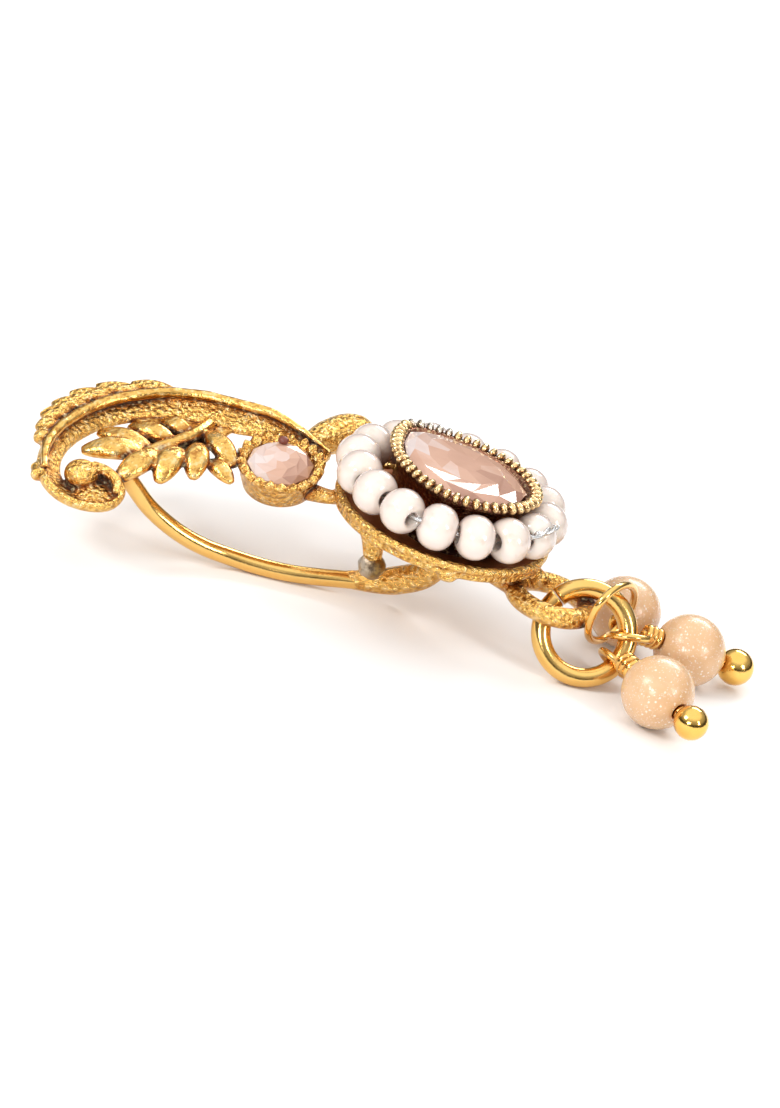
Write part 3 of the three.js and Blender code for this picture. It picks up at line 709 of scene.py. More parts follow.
# %% Solder and gold
post_ball_at = Vector((-2.95, -1.3, 2.75))
post_grey, tree, shader, where = finish_named("post_solder")
axes = tree.nodes.new("ShaderNodeSeparateXYZ")
tree.links.new(where, axes.inputs[0])
patches = noise_node(tree, where, 1500.0, 4.0, 0.65)
middle_x = (post_ball_at.x + ON_TABLE.x) * MM
from_middle = math_node(tree, "SUBTRACT", axes.outputs["X"], middle_x)
half_way = math_node(tree, "MULTIPLY_ADD", from_middle, 900.0, 0.2)
side_mask = math_node(tree, "ADD", half_way, patches, clamp=True)
two_metals = mix_colour(tree, side_mask, (0.60, 0.57, 0.52, 1), (0.36, 0.22, 0.07, 1))
crack_field = noise_node(tree, where, 1900.0, 4.0, 0.7)
cracks = math_node(tree, "MULTIPLY_ADD", crack_field, -6.0, 3.0, clamp=True)
tree.links.new(mix_colour(tree, cracks, two_metals, (0.12, 0.08, 0.05, 1)), shader.inputs["Base Color"])
shader.inputs["Metallic"].default_value = 1.0
tree.links.new(math_node(tree, "MULTIPLY_ADD", patches, 0.3, 0.22), shader.inputs["Roughness"])
bump_into(tree, shader, patches, 0.12)
print("post finish:", post_grey.name)

# %% [markdown]
# The stones are clear champagne glass over foil. What the eye sees in a cut stone is that one facet is dark
# and the next one flashes. Tracing that through small glass gives noise, so every facet carries a painted
# tone of light and shade in an attribute called facet_light, set where the stones are cut, and the material
# turns it into painted shade, painted light and painted highlights in its colour.

# %% Champagne stone
champagne, tree, shader, where = finish_named("champagne_stone")
cloud = noise_node(tree, where, 330.0, 3.0, 0.55)
facet = tree.nodes.new("ShaderNodeAttribute")
facet.attribute_name = "facet_light"
drift = math_node(tree, "MULTIPLY_ADD", cloud, 0.5, -0.25)
tone = math_node(tree, "ADD", facet.outputs["Fac"], drift, clamp=True)
lit = math_node(tree, "MULTIPLY", tone, 2.0, clamp=True)
# Dark facets are painted shade, lit facets painted light, and the brightest ones a painted highlight.
facet_shade_to_light = mix_colour(tree, lit, (0.34, 0.15, 0.10, 1), (0.76, 0.46, 0.33, 1))
painted_flash = math_node(tree, "MULTIPLY_ADD", tone, 2.6, -1.5, clamp=True)
tree.links.new(mix_colour(tree, painted_flash, facet_shade_to_light, (0.92, 0.82, 0.80, 1)), shader.inputs["Base Color"])
shader.inputs["Roughness"].default_value = 0.07
shader.inputs["Transmission Weight"].default_value = 0.22
shader.inputs["IOR"].default_value = 1.5
shader.inputs["Coat Weight"].default_value = 0.3
shader.inputs["Coat Roughness"].default_value = 0.04
bump_into(tree, shader, noise_node(tree, where, 600.0, 1.0, 0.4), 0.004)
print("stone finish:", champagne.name)

# %% [markdown]
# The drops are cloudy peach glass with silver glitter. Two sizes of flake look richer than one. The
# surface is satin and not polished, so its coat is rough and a fine bump breaks up reflections.

# %% Peach glass
peach_glass, tree, shader, where = finish_named("peach_glass")
veil = noise_node(tree, where, 520.0, 3.0, 0.55)
body = mix_colour(tree, veil, (0.76, 0.43, 0.20, 1), (0.86, 0.60, 0.37, 1))
coarse = place_group(tree, glitter, Position=where, Flake_Size_mm=0.17, Share=0.15)
fine = place_group(tree, glitter, Position=where, Flake_Size_mm=0.1, Share=0.3)
bright_flakes = math_node(tree, "MULTIPLY", coarse.outputs["Mask"], 0.75)
faint_flakes = math_node(tree, "MULTIPLY", fine.outputs["Mask"], 0.4)
sparkle = math_node(tree, "MAXIMUM", bright_flakes, faint_flakes)
tree.links.new(mix_colour(tree, sparkle, body, (1.0, 0.9, 0.76, 1)), shader.inputs["Base Color"])
tree.links.new(math_node(tree, "MULTIPLY_ADD", sparkle, -0.15, 0.26), shader.inputs["Roughness"])
shader.inputs["Transmission Weight"].default_value = 0.12
shader.inputs["IOR"].default_value = 1.5
shader.inputs["Subsurface Weight"].default_value = 0.25
shader.inputs["Subsurface Radius"].default_value = (1.0, 0.6, 0.35)
shader.inputs["Subsurface Scale"].default_value = 0.0008
shader.inputs["Coat Weight"].default_value = 0.5
shader.inputs["Coat Roughness"].default_value = 0.22
flake_height = math_node(tree, "MULTIPLY", coarse.outputs["Height"], 0.3)
satin = math_node(tree, "ADD", noise_node(tree, where, 5200.0, 3.0, 0.7), flake_height)
bump_into(tree, shader, satin, 0.035)
print("finishes made:", len(bpy.data.materials))

# %% [markdown]
# ## The plume
#
# Seen from above the plume is a crescent that starts behind the round stone, swings out and curls in at
# the tip. Its outer edge is a raised, rubbed rim. From the rim the metal falls to the inner edge in
# a grainy slope. So one outline, the blade, is swept along a middle line and made wider or narrower on
# the way. Each row holds x, y, half the width, and z. rim_reach narrows the outer side of the blade
# where the feather tongues lie over it.

# %% Plume
plume_rows = [
    (2.18, 1.92, 0.44, -0.64), (0.0, 2.79, 0.49, -0.51), (-1.6, 3.14, 0.61, -0.38), (-3.2, 3.07, 0.77, -0.38),
    (-4.93, 3.01, 0.9, -0.38), (-6.78, 2.75, 0.96, -0.38), (-8.51, 2.11, 0.96, -0.38),
    (-10.05, 0.9, 0.9, -0.38), (-11.26, -0.77, 0.77, -0.38), (-12.03, -2.69, 0.64, -0.38),
    (-12.1, -4.35, 0.6, -0.38), (-11.58, -5.82, 0.64, -0.38), (-10.5, -6.85, 0.67, -0.45),
    (-9.15, -7.17, 0.67, -0.51), (-8.0, -6.78, 0.58, -0.51), (-7.68, -5.82, 0.46, -0.38),
    (-8.32, -5.06, 0.44, -0.26), (-9.28, -4.74, 0.46, -0.19),
]
blade = [
    (-1.0, -0.52), (-1.04, -0.32), (-0.9, -0.16), (-0.55, -0.03), (-0.1, 0.12), (0.2, 0.2), (0.32, 0.3),
    (0.42, 0.52), (0.56, 0.66), (0.74, 0.68), (0.92, 0.52), (1.03, 0.22), (1.0, -0.2), (0.8, -0.48),
    (0.2, -0.56), (-0.5, -0.58),
]
rim_reach = [1, 1, 1, 1, 0.95, 0.7, 0.36, 0.34, 0.45, 0.55, 0.7, 0.9, 1, 1, 1, 1, 1, 1]
curl_from = 0.62


def rising(share):
    """The blade is lower at its root and reaches full height within a few steps."""
    return min(1.0, 0.6 + share * 6)


def plume_outline(share):
    half = between([row[2] for row in plume_rows], share)
    relief = 1.0 if share < curl_from else max(0.55, 1 - (share - curl_from) * 2.2)
    height = relief * rising(share)
    reach = between(rim_reach, share)
    return [(x * half * (reach if x > 0 else 1), y * height) for x, y in blade]


bm = bmesh.new()
sweep(bm, [(x, y, z) for x, y, half, z in plume_rows], plume_outline, 150)
print("plume skin:", len(bm.faces), "faces")

# %% [markdown]
# Where the plume turns, seven feather tongues lie back along its outer edge and overlap like roof
# tiles. Each is a leaf with a groove down its middle, so a loop sets them with the same helper that
# draws the sprig later. Each row holds the place of a root and of a tip.

# %% Leaf helper and feather tips


def leaf(bm, root, tip, width, thick, groove=0.1, bow=0.12, steps=16, blunt=0.9):
    root, tip = Vector(root), Vector(tip)
    middle = (root + tip) / 2 + Vector((0, 0, bow * width))

    def outline(share):
        swell = max(math.sin(math.pi * (0.1 + blunt * 0.95 * share)), 0.05) ** 0.6
        ring = []
        for x, y in circle(18):
            cut = groove * math.exp(-((x / 0.18) ** 2)) if y > 0 else 0.0
            ring.append((x * width / 2 * swell, (y * thick / 2 - cut) * swell))
        return ring
    sweep(bm, [root, middle, tip], outline, steps)


tongue_rows = [
    ((-6.9, 3.35), (-9.75, 2.95)), ((-8.6, 2.55), (-11.5, 1.95)), ((-10.1, 1.6), (-12.65, 0.7)),
    ((-11.2, 0.55), (-13.25, -0.6)), ((-12.0, -0.5), (-13.5, -1.75)), ((-12.45, -1.6), (-13.3, -2.95)),
    ((-12.55, -2.7), (-13.0, -3.95)),
]
for root, tip in tongue_rows:
    leaf(bm, (*root, -0.16), (*tip, 0.04), 1.2, 0.7, groove=0.1, blunt=0.86)
print("feather tongues:", len(tongue_rows))

# %% [markdown]
# The plume ends in a curl: a knob, a ridge that runs out of it, a thin floor between, and a little ball
# of two lobes on the outside. Balls and one wire are pushed into each other and left to the
# remeshing, which melts them together with the tongues and the blade.

# %% Curled tip


def blob(bm, place_mm, size, stretch=(1, 1, 1), where=flat):
    ball = bmesh.ops.create_uvsphere(bm, u_segments=20, v_segments=12, radius=size / 2)
    shape = Matrix.Diagonal((*stretch, 1))
    bmesh.ops.transform(bm, matrix=where @ Matrix.Translation(Vector(place_mm)) @ shape, verts=ball["verts"])


blob(bm, (-9.92, -5.45, -0.08), 1.95, (1, 0.95, 0.85))
wire(bm, [(-9.5, -4.8, 0.08), (-8.7, -4.9, 0.1), (-7.95, -5.3, 0.0), (-7.65, -6.1, -0.3)],
     [0.75, 0.7, 0.62, 0.5], 20)
blob(bm, (-8.9, -6.1, -0.6), 2.3, (1.05, 0.85, 0.3))
blob(bm, (-12.26, -6.0, -0.42), 0.8)
blob(bm, (-12.5, -5.55, -0.38), 0.62)
plume = melt(gold_piece("plume_casting", bm, grainy_gold, tail_place), 0.08, 2)
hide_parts("cast_frame")

# %% [markdown]
# Wear has rubbed the top of the outer edge smooth and bright. The remeshed skin is too
# coarse for such a clean line, so the rim is a wire of its own that lies half sunk in the crest of
# the blade and thins out at both ends. A slow noise makes it a little uneven.

# %% The rubbed rim
rim_widths = [0.1, 0.4, 0.55, 0.6, 0.62, 0.64, 0.66, 0.66, 0.62, 0.6, 0.56, 0.36]
rim_rows = plume_rows[:len(rim_widths)]
middle_line = [Vector((x, y, z)) for x, y, half, z in rim_rows]
last = len(rim_rows) - 1
crest_at, crest_lift = 0.62, 0.6
rim_points = []
for k, (x, y, half, z) in enumerate(rim_rows):
    ahead = (middle_line[min(k + 1, last)] - middle_line[max(k - 1, 0)]).normalized()
    out = ahead.cross(Vector((0, 0, 1)))
    lift = crest_lift * rising(k / (len(plume_rows) - 1)) * (1.0 if k < last else 0.9)
    rim_points.append(middle_line[k] + out * half * rim_reach[k] * crest_at + Vector((0, 0, lift)))
bm = bmesh.new()
wire(bm, rim_points, rim_widths, 160, 14)
unevenness = Vector((0, 0, 0.05))
for vert in bm.verts:
    vert.co += unevenness * noise.noise(vert.co * 1.3)
gold_piece("plume_rim", bm, cast_gold, tail_place)

# %% [markdown]
# ## The sprig of leaves
#
# A short stem leans in from the plume with fat, slightly cupped leaves on both sides. They overlap and
# hide most of the stem. Each row holds the root and the tip of a leaf, its width and its thickness.
# A thin web joins them to the plume, and the whole is melted with fine voxels so that the grooves
# stay crisp.

# %% Sprig
leaf_rows = [
    ((-7.3, -2.2, -0.15), (-10.6, -3.35, -0.2), 1.65, 1.05),
    ((-7.2, -1.5, -0.3), (-10.3, -1.3, -0.4), 1.35, 0.9),
    ((-6.1, -0.45, -0.3), (-8.8, -0.05, -0.4), 1.3, 0.9),
    ((-5.4, 0.55, -0.35), (-7.3, 1.15, -0.4), 1.15, 0.8),
    ((-6.5, -2.1, 0.0), (-8.0, -5.1, -0.15), 1.5, 1.1),
    ((-5.6, -1.3, -0.05), (-5.85, -4.2, -0.25), 1.6, 1.15),
    ((-4.65, -0.45, -0.1), (-4.15, -3.15, -0.25), 1.5, 1.1),
    ((-4.5, 0.8, -0.1), (-2.3, -1.2, -0.3), 1.4, 0.95),
    ((-3.8, -1.2, -0.4), (-2.1, -2.35, -0.5), 1.15, 0.8),
]
bm = bmesh.new()
for root, tip, width, thick in leaf_rows:
    leaf(bm, root, tip, width, thick, groove=0.13, bow=0.16)
web_edge = [
    (-8.6, 1.6), (-9.0, 0.3), (-8.9, -1.2), (-8.4, -2.2), (-6.6, -1.9), (-5.38, -1.28), (-4.2, -0.3),
    (-3.9, 1.28), (-3.3, 2.4), (-5.0, 2.37), (-7.0, 2.11),
]
loft(bm, [[Vector((x, y, height)) for x, y in web_edge] for height in (-0.86, -0.62)])
stem_points = [
    (-4.75, 1.9, -0.4), (-5.05, 0.5, -0.05), (-5.67, -0.65, 0.08), (-6.76, -1.83, 0.05), (-7.5, -2.6, -0.15),
]
wire(bm, stem_points, [0.85, 0.8, 0.75, 0.68, 0.55], 40)
melt(gold_piece("leaf_sprig", bm, cast_gold, tail_place), 0.07, 2)

# %% [markdown]
# ## The round collet
#
# A collet is the little cup that holds a stone. Its lip is a row of soft grains pressed over the stone.
# A ripple that rides on the turned profile makes them, and the wall below leans in toward its foot.

# %% Round collet
grains = 20
collet_profile = [
    (0.02, -1.8), (1.85, -1.8), (2.02, -1.66), (2.18, -1.1), (2.3, -0.6), (2.4, -0.3), (2.45, -0.16),
    (2.4, -0.04), (2.22, 0.03), (2.02, 0.0), (1.88, -0.12), (1.84, -0.4), (1.6, -0.75), (0.9, -1.2),
    (0.02, -1.25),
]


def collet_ripple(radius, height, angle):
    lip = math.exp(-((height + 0.08) / 0.22) ** 2)
    wave = 0.5 + 0.5 * math.cos(angle * grains)
    uneven = 0.05 * math.sin(angle * 3 + 0.7) + 0.03 * math.sin(angle * 7)
    return radius + 0.09 * lip * wave, height + (0.25 * wave - 0.08 + uneven) * lip


bm = bmesh.new()
turned(bm, collet_profile, 176, collet_ripple)
gold_piece("round_collet", bm, grainy_gold, tail_place)

# %% [markdown]
# ## Cutting stones
#
# A cut stone is a few level outlines, one above the other: the culet is its lowest point, the girdle its
# widest line, the crown its top and the table the flat part in it. Every second outline is turned by half a
# facet, so the faces between them are set like those of a real cut, and a small outline at the top makes a
# star inside the table. Each facet then gets a painted tone of light and shade, lighter on one side.

# %% Stone helpers


def cut_stone(bm, outline_of, table, crown, girdle, culet, scales):
    """A faceted stone. outline_of(shift) gives its outline, turned by that part of a facet."""
    levels = [
        (scales[0], culet, 0.5), (scales[1], (culet + girdle) * 0.5, 0.0), (1.0, girdle, 0.5),
        (1.0, girdle + 0.08, 0.5), (scales[2], girdle + (crown - girdle) * 0.62, 0.0),
        (table, girdle + (crown - girdle) * 0.9, 0.5), (table * 0.45, crown, 0.0),
    ]
    rings = []
    for scale, height, shift in levels:
        rings.append([Vector((p.x * scale, p.y * scale, height)) for p in outline_of(shift)])
    loft(bm, rings)


def tone_facets(made, lit_way, seed):
    """Gives each facet a painted tone of light and shade between 0 and 1, lighter where it leans to lit_way.
    """
    random.seed(seed)
    tones = made.data.attributes.new("facet_light", "FLOAT", "FACE")
    for face in made.data.polygons:
        lean = face.normal.dot(Vector(lit_way))
        tones.data[face.index].value = min(1.0, max(0.0, 0.54 + 1.1 * lean + random.uniform(-0.2, 0.2)))


print("stone helpers ready: cut_stone, tone_facets")

# %% [markdown]
# The small stone is a round cut with ten sides. It sits in a dish of foil, and a dark red speck lies at
# the back of its edge.

# %% Small stone, its foil and the speck
small_sides, small_radius = 10, 1.86


def round_outline(shift):
    angles = [math.tau * (i + shift) / small_sides for i in range(small_sides)]
    return [Vector((math.cos(angle), math.sin(angle), 0)) * small_radius for angle in angles]


bm = bmesh.new()
cut_stone(bm, round_outline, 0.55, 0.34, -0.26, -1.0, (0.2, 0.6, 0.82))
small_stone = piece("small_stone_cut", bm, champagne, tail_place, smooth=False)
tone_facets(small_stone, (-0.55, -0.1, 0.0), 41)
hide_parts("small_stone")
dish_profile = [
    (0.02, -1.18), (0.9, -1.12), (1.55, -0.7), (1.86, -0.36), (1.86, -0.5), (1.5, -0.85), (0.85, -1.22),
    (0.02, -1.24),
]
bm = bmesh.new()
turned(bm, dish_profile, 48)
piece("small_foil", bm, foil, tail_place)
bm = bmesh.new()
blob(bm, (-0.3, 1.42, 0.3), 0.56, (1.1, 0.95, 0.8))
speck = piece("collet_speck", bm, dark_red, tail_place)

# %% [markdown]
# ## The pearl cup
#
# The cup is a shallow dish. Its rim is thick, with a line along it where two castings meet, and its
# floor has a red-brown lacquer. The arm of the nose wire, the post and the neck of the loop grow from
# its back and melt into it, and a bridge and a shoulder join it to the collet.

# %% Cup and what grows from it
side_up = (0, 1, 0)
cup_profile = [
    (0.02, 0.0), (5.7, 0.0), (6.02, 0.02), (6.14, 0.12), (6.14, 0.3), (6.02, 0.38), (6.14, 0.46),
    (6.25, 0.56), (6.26, 0.78), (6.16, 0.9), (5.95, 0.92), (5.76, 0.86), (5.62, 0.62), (5.6, 0.42),
    (5.4, 0.36), (0.02, 0.36),
]
arm_points = [
    (-4.4, -0.02, 0.84), (-2.6, 0.4, 1.12), (-1.4, 0.8, 1.45), (-0.3, 0.9, 2.1), (0.4, 0.8, 3.2),
    (0.7, 0.7, 4.6), (0.8, 0.6, 5.75),
]
post_points = [(-3.6, -1.3, 5.8), (-3.2, -1.3, 4.2), (-2.95, -1.3, 3.0)]
neck_points = [(2.3, -1.5, 5.7), (3.6, -1.3, 4.9), (5.05, -1.0, 4.05)]
brace_points = [(4.4, 0.6, 5.6), (5.4, 0.4, 4.8), (6.4, 0.6, 4.1)]
bridge_points = [(-7.6, -0.6, 5.6), (-6.4, -0.7, 5.7), (-5.4, -0.6, 5.85)]
shoulder_points = [(-8.9, 2.6, 6.4), (-7.8, 4.3, 6.9), (-6.6, 5.3, 7.1), (-4.8, 5.2, 6.2)]
rim_lump_at = (1.65, -5.6, 5.55)
bm = bmesh.new()
turned(bm, cup_profile, 200, where=cup_place)
wire(bm, arm_points, [0.98, 1.28, 1.62, 1.65, 1.65, 1.7, 2.1], 48, 20, side_up)
wire(bm, post_points, [2.2, 1.35, 1.0], 16, 18, side_up)
loop_place = leaning((7.17, -0.9, 3.9), *cup_lean)
hoop(bm, loop_place, 2.1, 2.1, 1.2, 72, 16)
wire(bm, neck_points, [2.4, 1.7, 1.25], 16, 16, side_up)
wire(bm, brace_points, [1.2, 0.9, 0.9], 12, 14, side_up)
wire(bm, bridge_points, [1.1, 0.9, 0.7], 10, 14)
wire(bm, shoulder_points, [1.1, 2.0, 2.4, 1.6], 24, 20)
blob(bm, rim_lump_at, 0.95, (1.2, 0.8, 0.7))
melt(gold_piece("pearl_cup", bm, grainy_gold), 0.1, 2)

# %% [markdown]
# The lacquer has pooled between the pearls and the bezel, so the floor is a thin ring of its own that
# rises a little at the wall. The ball at the end of the post was set by hand and isn't round: a
# noise pushes its surface in and out.

# %% Floor of the cup and post ball
floor_profile = [(3.6, 0.35), (5.58, 0.37), (5.64, 0.56), (5.6, 0.6), (5.5, 0.44), (3.6, 0.43)]
bm = bmesh.new()
turned(bm, floor_profile, 120, closed=True)
cup_floor = piece("cup_floor", bm, cup_inside, cup_place)
bm = bmesh.new()
blob(bm, post_ball_at, 1.55, (1, 1, 0.95))
for vert in bm.verts:
    vert.co += (vert.co - post_ball_at) * 0.15 * noise.noise(vert.co * 2.2)
piece("post_ball", bm, post_grey)

# %% [markdown]
# ## The nose wire
#
# One springy wire, a millimetre thick, soldered into the arm. It sags toward the table in a long arc
# and its free end comes up inside the curled tip. It is polished, so it stays apart from the casting.

# %% Nose wire
wire_points = [
    (-17.3, -4.5, 5.2), (-16.6, -4.0, 4.3), (-15.49, -3.38, 3.0), (-13.92, -2.8, 1.9), (-12.44, -2.21, 1.2),
    (-10.74, -1.48, 0.72), (-9.01, -1.12, 0.54), (-7.31, -0.81, 0.55), (-5.67, -0.34, 0.66),
    (-4.32, -0.03, 0.84), (-3.0, 0.2, 1.0),
]
wire_width = 1.0
bm = bmesh.new()
wire(bm, wire_points, [wire_width, wire_width], 160, 24, side_up)
gold_piece("nose_wire", bm, wire_gold)

# %% [markdown]
# ## The pear bezel
#
# The bezel stands inside the ring of pearls. Its wall flares toward the top, where a row of grains runs
# round the stone, and a narrow ledge leads down from them to the stone. The pear is an ellipse whose
# width shrinks toward one end, so one formula serves the wall, the grains, the stone and its foil.

# %% Pear outline and bezel wall


def pear_outline(length, width, count, shift=0.0):
    ring = []
    for i in range(count):
        angle = math.tau * (i + shift) / count
        taper = (1 - 0.17 * math.cos(angle)) * (1 - 0.3 * max(0.0, math.cos(angle)) ** 3)
        ring.append(Vector((length / 2 * math.cos(angle), width / 2 * math.sin(angle) * taper, 0)))
    return ring


pear_heading = 139
pear_place = cup_place @ Matrix.Rotation(math.radians(pear_heading), 4, "Z")
wall_steps = 160
foot_reach = 4.06
rope_line = pear_outline(9.48, 7.53, wall_steps)
foot_line = [p.normalized() * min(p.length * 0.9, foot_reach) for p in rope_line]
inner_line = pear_outline(8.35, 6.4, wall_steps)


def raised(ring, height, scale=1.0):
    return [Vector((p.x * scale, p.y * scale, height)) for p in ring]


def along_line(ring, heights):
    return [raised(ring, height, scale) for height, scale in heights]


shoulder = [a.lerp(b, 0.6) for a, b in zip(raised(foot_line, 3.4), raised(rope_line, 3.4))]
bm = bmesh.new()
loft(bm, [
    *along_line(foot_line, ((0.3, 1.0), (2.5, 1.0), (3.0, 1.02))),
    shoulder,
    *along_line(rope_line, ((3.75, 1.02), (3.95, 1.02))),
    *along_line(inner_line, ((3.98, 1.03), (3.7, 1.0), (3.1, 0.93), (3.0, 0.9), (0.3, 0.3))),
])
gold_piece("bezel_wall", bm, bezel_rose, pear_place)

# %% [markdown]
# Grains set one by one read better than a twisted tube, because the dark gaps between them are real
# gaps. Each is a ball, flattened along the row and a little different in size. Near the tip of the
# pear the plating has worn off, so those grains are silver and make a piece of their own.

# %% Grains of the bezel
grain_count, line_steps = 48, 480
grain_height = 4.005
silver_spots = (44, 45, 46, 47, 0)
grain_line = smooth_path([*rope_line, rope_line[0]], line_steps)
gold_row, silver_row = bmesh.new(), bmesh.new()
for i in range(grain_count):
    at = line_steps * i // grain_count
    spot = grain_line[at]
    random.seed(100 + i)
    size = 0.6 + random.uniform(-0.05, 0.04)
    ahead = grain_line[min(at + 2, line_steps)] - spot
    turn = Matrix.Rotation(math.atan2(ahead.y, ahead.x), 4, "Z")
    row = silver_row if i in silver_spots else gold_row
    grain_place = Matrix.Translation((spot.x, spot.y, grain_height)) @ turn
    blob(row, (0, 0, 0), size, (0.76, 1.3, 1.0), grain_place)
gold_piece("bezel_grains", gold_row, rope_gold, pear_place)
gold_piece("worn_grains", silver_row, worn_silver, pear_place)

# %% [markdown]
# ## The pear stone
#
# A pear cut with twelve sides. The facets are flat, so this mesh isn't smoothed. Foil behind the
# stone throws the light back, which is what makes a cheap glass stone look full.

# %% Pear stone and its foil


def stone_outline(shift):
    return pear_outline(8.5, 6.5, 12, shift)


bm = bmesh.new()
cut_stone(bm, stone_outline, 0.62, 4.36, 3.78, 2.4, (0.35, 0.72, 0.84))
pear_stone = piece("pear_stone_cut", bm, champagne, pear_place, smooth=False)
tone_facets(pear_stone, (-0.5, 0.35, 0.0), 17)
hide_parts("pear_stone")
foil_levels = (
    (3.62, 0.99), (3.2, 0.95), (2.3, 0.62), (2.1, 0.3), (2.0, 0.3), (2.2, 0.66), (3.15, 0.975), (3.62, 1.0),
)
bm = bmesh.new()
loft(bm, along_line(inner_line, foil_levels), wrap=True)
piece("pear_foil", bm, foil, pear_place)

# %% [markdown]
# ## The pearls
#
# Sixteen small pearls are threaded on a fine silver wire. Each is a barrel with a wide hole, a little
# different in size and turn from the next, and one of them has swung well out of line. A profile
# that runs up the outside and back through the hole makes a bead with a real hole in it.

# %% Pearls
pearl_count, pearl_size, pearl_length, pearl_hole = 16, 2.62, 2.08, 0.4
string_radius, pearl_height = 5.5, 2.42
swung_pearl, swung_by = 11, -24


def pearl_profile(size, length):
    lip = [(pearl_hole, length * 0.4), (pearl_hole + 0.07, length * 0.475), (pearl_hole + 0.2, length * 0.5)]
    side = []
    for k in range(1, 12):
        angle = math.pi * k / 12
        radius = size / 2 * math.sin(angle) ** 0.62
        if radius > pearl_hole + 0.3:
            side.append((radius, -length / 2 * math.cos(angle)))
    return [(radius, -height) for radius, height in lip] + side + lip[::-1]


bm = bmesh.new()
random.seed(7)
along = Matrix.Rotation(-math.pi / 2, 4, "X")
for i in range(pearl_count):
    angle = math.radians(3) + math.tau * i / pearl_count
    size = pearl_size * random.uniform(0.965, 1.01)
    length = pearl_length * random.uniform(0.96, 1.0)
    tip = Matrix.Rotation(math.radians(random.uniform(-7, 7)), 4, "X")
    yaw = Matrix.Rotation(math.radians(swung_by if i == swung_pearl else random.uniform(-6, 6)), 4, "Z")
    spot = Matrix.Rotation(angle, 4, "Z") @ Matrix.Translation((string_radius, 0, pearl_height))
    turned(bm, pearl_profile(size, length), 28, closed=True, where=spot @ yaw @ tip @ along)
pearls = piece("pearls", bm, pearl_white, cup_place)
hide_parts("pearl_string")

# %% [markdown]
# The wire shows in the gaps between the pearls. Its end is two strands twisted together, which lie over
# a pearl at the right. Each mark is an angle in degrees, a distance from the middle of the cup and a
# lift above the pearls' own height, and the two strands wind round the line through them.

# %% Silver wire
end_marks = [(-31, 5.55, 0.05), (-30, 6.2, 0.65), (-26, 6.5, 0.98), (-21, 6.55, 1.1), (-16, 6.5, 1.0)]
end_path = [
    Vector((math.cos(math.radians(turn)) * reach, math.sin(math.radians(turn)) * reach, pearl_height + lift))
    for turn, reach, lift in end_marks
]
end_line = smooth_path(end_path, 40)
bm = bmesh.new()
hoop(bm, Matrix.Translation((0, 0, pearl_height)), string_radius, string_radius, 0.34, 160, 10)
for twist in (0, math.pi):
    strand = []
    for k, spot in enumerate(end_line):
        swing = twist + k * 0.35
        strand.append(spot + Vector((0.12 * math.cos(swing), 0.05 * math.cos(swing), 0.12 * math.sin(swing))))
    wire(bm, strand, [0.22, 0.22, 0.2, 0.12], 80, 8)
piece("string_wire", bm, silver_wire, cup_place)

# %% [markdown]
# ## Jump ring
#
# The jump ring is plain round wire, cut once, so a hoop with a narrow gap makes it. It stands on the
# table and leans into the cast loop. The helper facing() sets a frame by the ways its X and Z axes
# look, which is easier to read from a photograph than three angles are.

# %% Jump ring


def facing(origin, x_way, z_way):
    z = Vector(z_way).normalized()
    x = (Vector(x_way) - z * Vector(x_way).dot(z)).normalized()
    y = z.cross(x)
    return Matrix.Translation(Vector(origin)) @ Matrix((x, y, z)).transposed().to_4x4()


ring_at = Vector((9.5, -1.35, 2.78))
ring_place = facing(ring_at, (-0.3, 0.379, 0.875), (0.258, -0.851, 0.458))
ring_radius, ring_wire = 2.48, 1.1
bm = bmesh.new()
hoop(bm, ring_place, ring_radius, ring_radius, ring_wire, 140, 24, gap=3.0, start=38)
jump_ring = gold_piece("jump_ring_wire", bm, wire_gold)
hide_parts("jump_ring")


def on_ring(degrees):
    angle = math.radians(degrees)
    return ring_place @ Vector((math.cos(angle) * ring_radius, math.sin(angle) * ring_radius, 0))


# %% [markdown]
# ## Drops
#
# Each drop is one pin: a ball at the end, the glass bead, and above it a coil and a wrapped loop that
# holds the ring. A drop's row says where on the ring it hangs, in degrees, where its coil starts,
# seen from the ring, and how its pin points: its heading and its dip. Half the length and width of
# the loop, the length of the coil and the size of the ball follow. The first two loops face along
# the ring. The third is bent up behind it, so its two ways are given.

# %% Drop helpers
bead_size, pin_wire, bead_hole = 4.1, 0.45, 0.42
bead_half = bead_size / 2
coil_turns, coil_radius, coil_points = 2.6, 0.45, 60


def coil_path(length):
    """Points of the coil in the pin's own frame, from the bead up to the loop."""
    rise = min(length - pin_wire * 0.8, coil_turns * pin_wire * 1.02)
    points = []
    for k in range(coil_points):
        go = k / (coil_points - 1)
        swing = go * coil_turns * math.tau
        height = -bead_half * 0.96 - pin_wire * 0.5 - go * rise
        points.append(Vector((math.cos(swing) * coil_radius, math.sin(swing) * coil_radius, height)))
    return points


lip = [
    (bead_hole, bead_half * 0.8), (bead_hole + 0.06, bead_half * 0.93), (bead_hole + 0.16, bead_half * 0.965),
]
first = math.asin((bead_hole + 0.34) / bead_half)
swings = [first + (math.pi - 2 * first) * k / 28 for k in range(29)]
bead_profile = [(radius, -height) for radius, height in lip]
bead_profile += [(math.sin(swing) * bead_half, -math.cos(swing) * bead_half * 0.99) for swing in swings]
bead_profile += lip[::-1]
washer_profile = [
    (0.02, bead_half * 0.9), (0.42, bead_half * 0.92), (0.46, bead_half + 0.08), (0.36, bead_half + 0.2),
    (0.02, bead_half + 0.3),
]
print("bead profile:", len(bead_profile), "points")

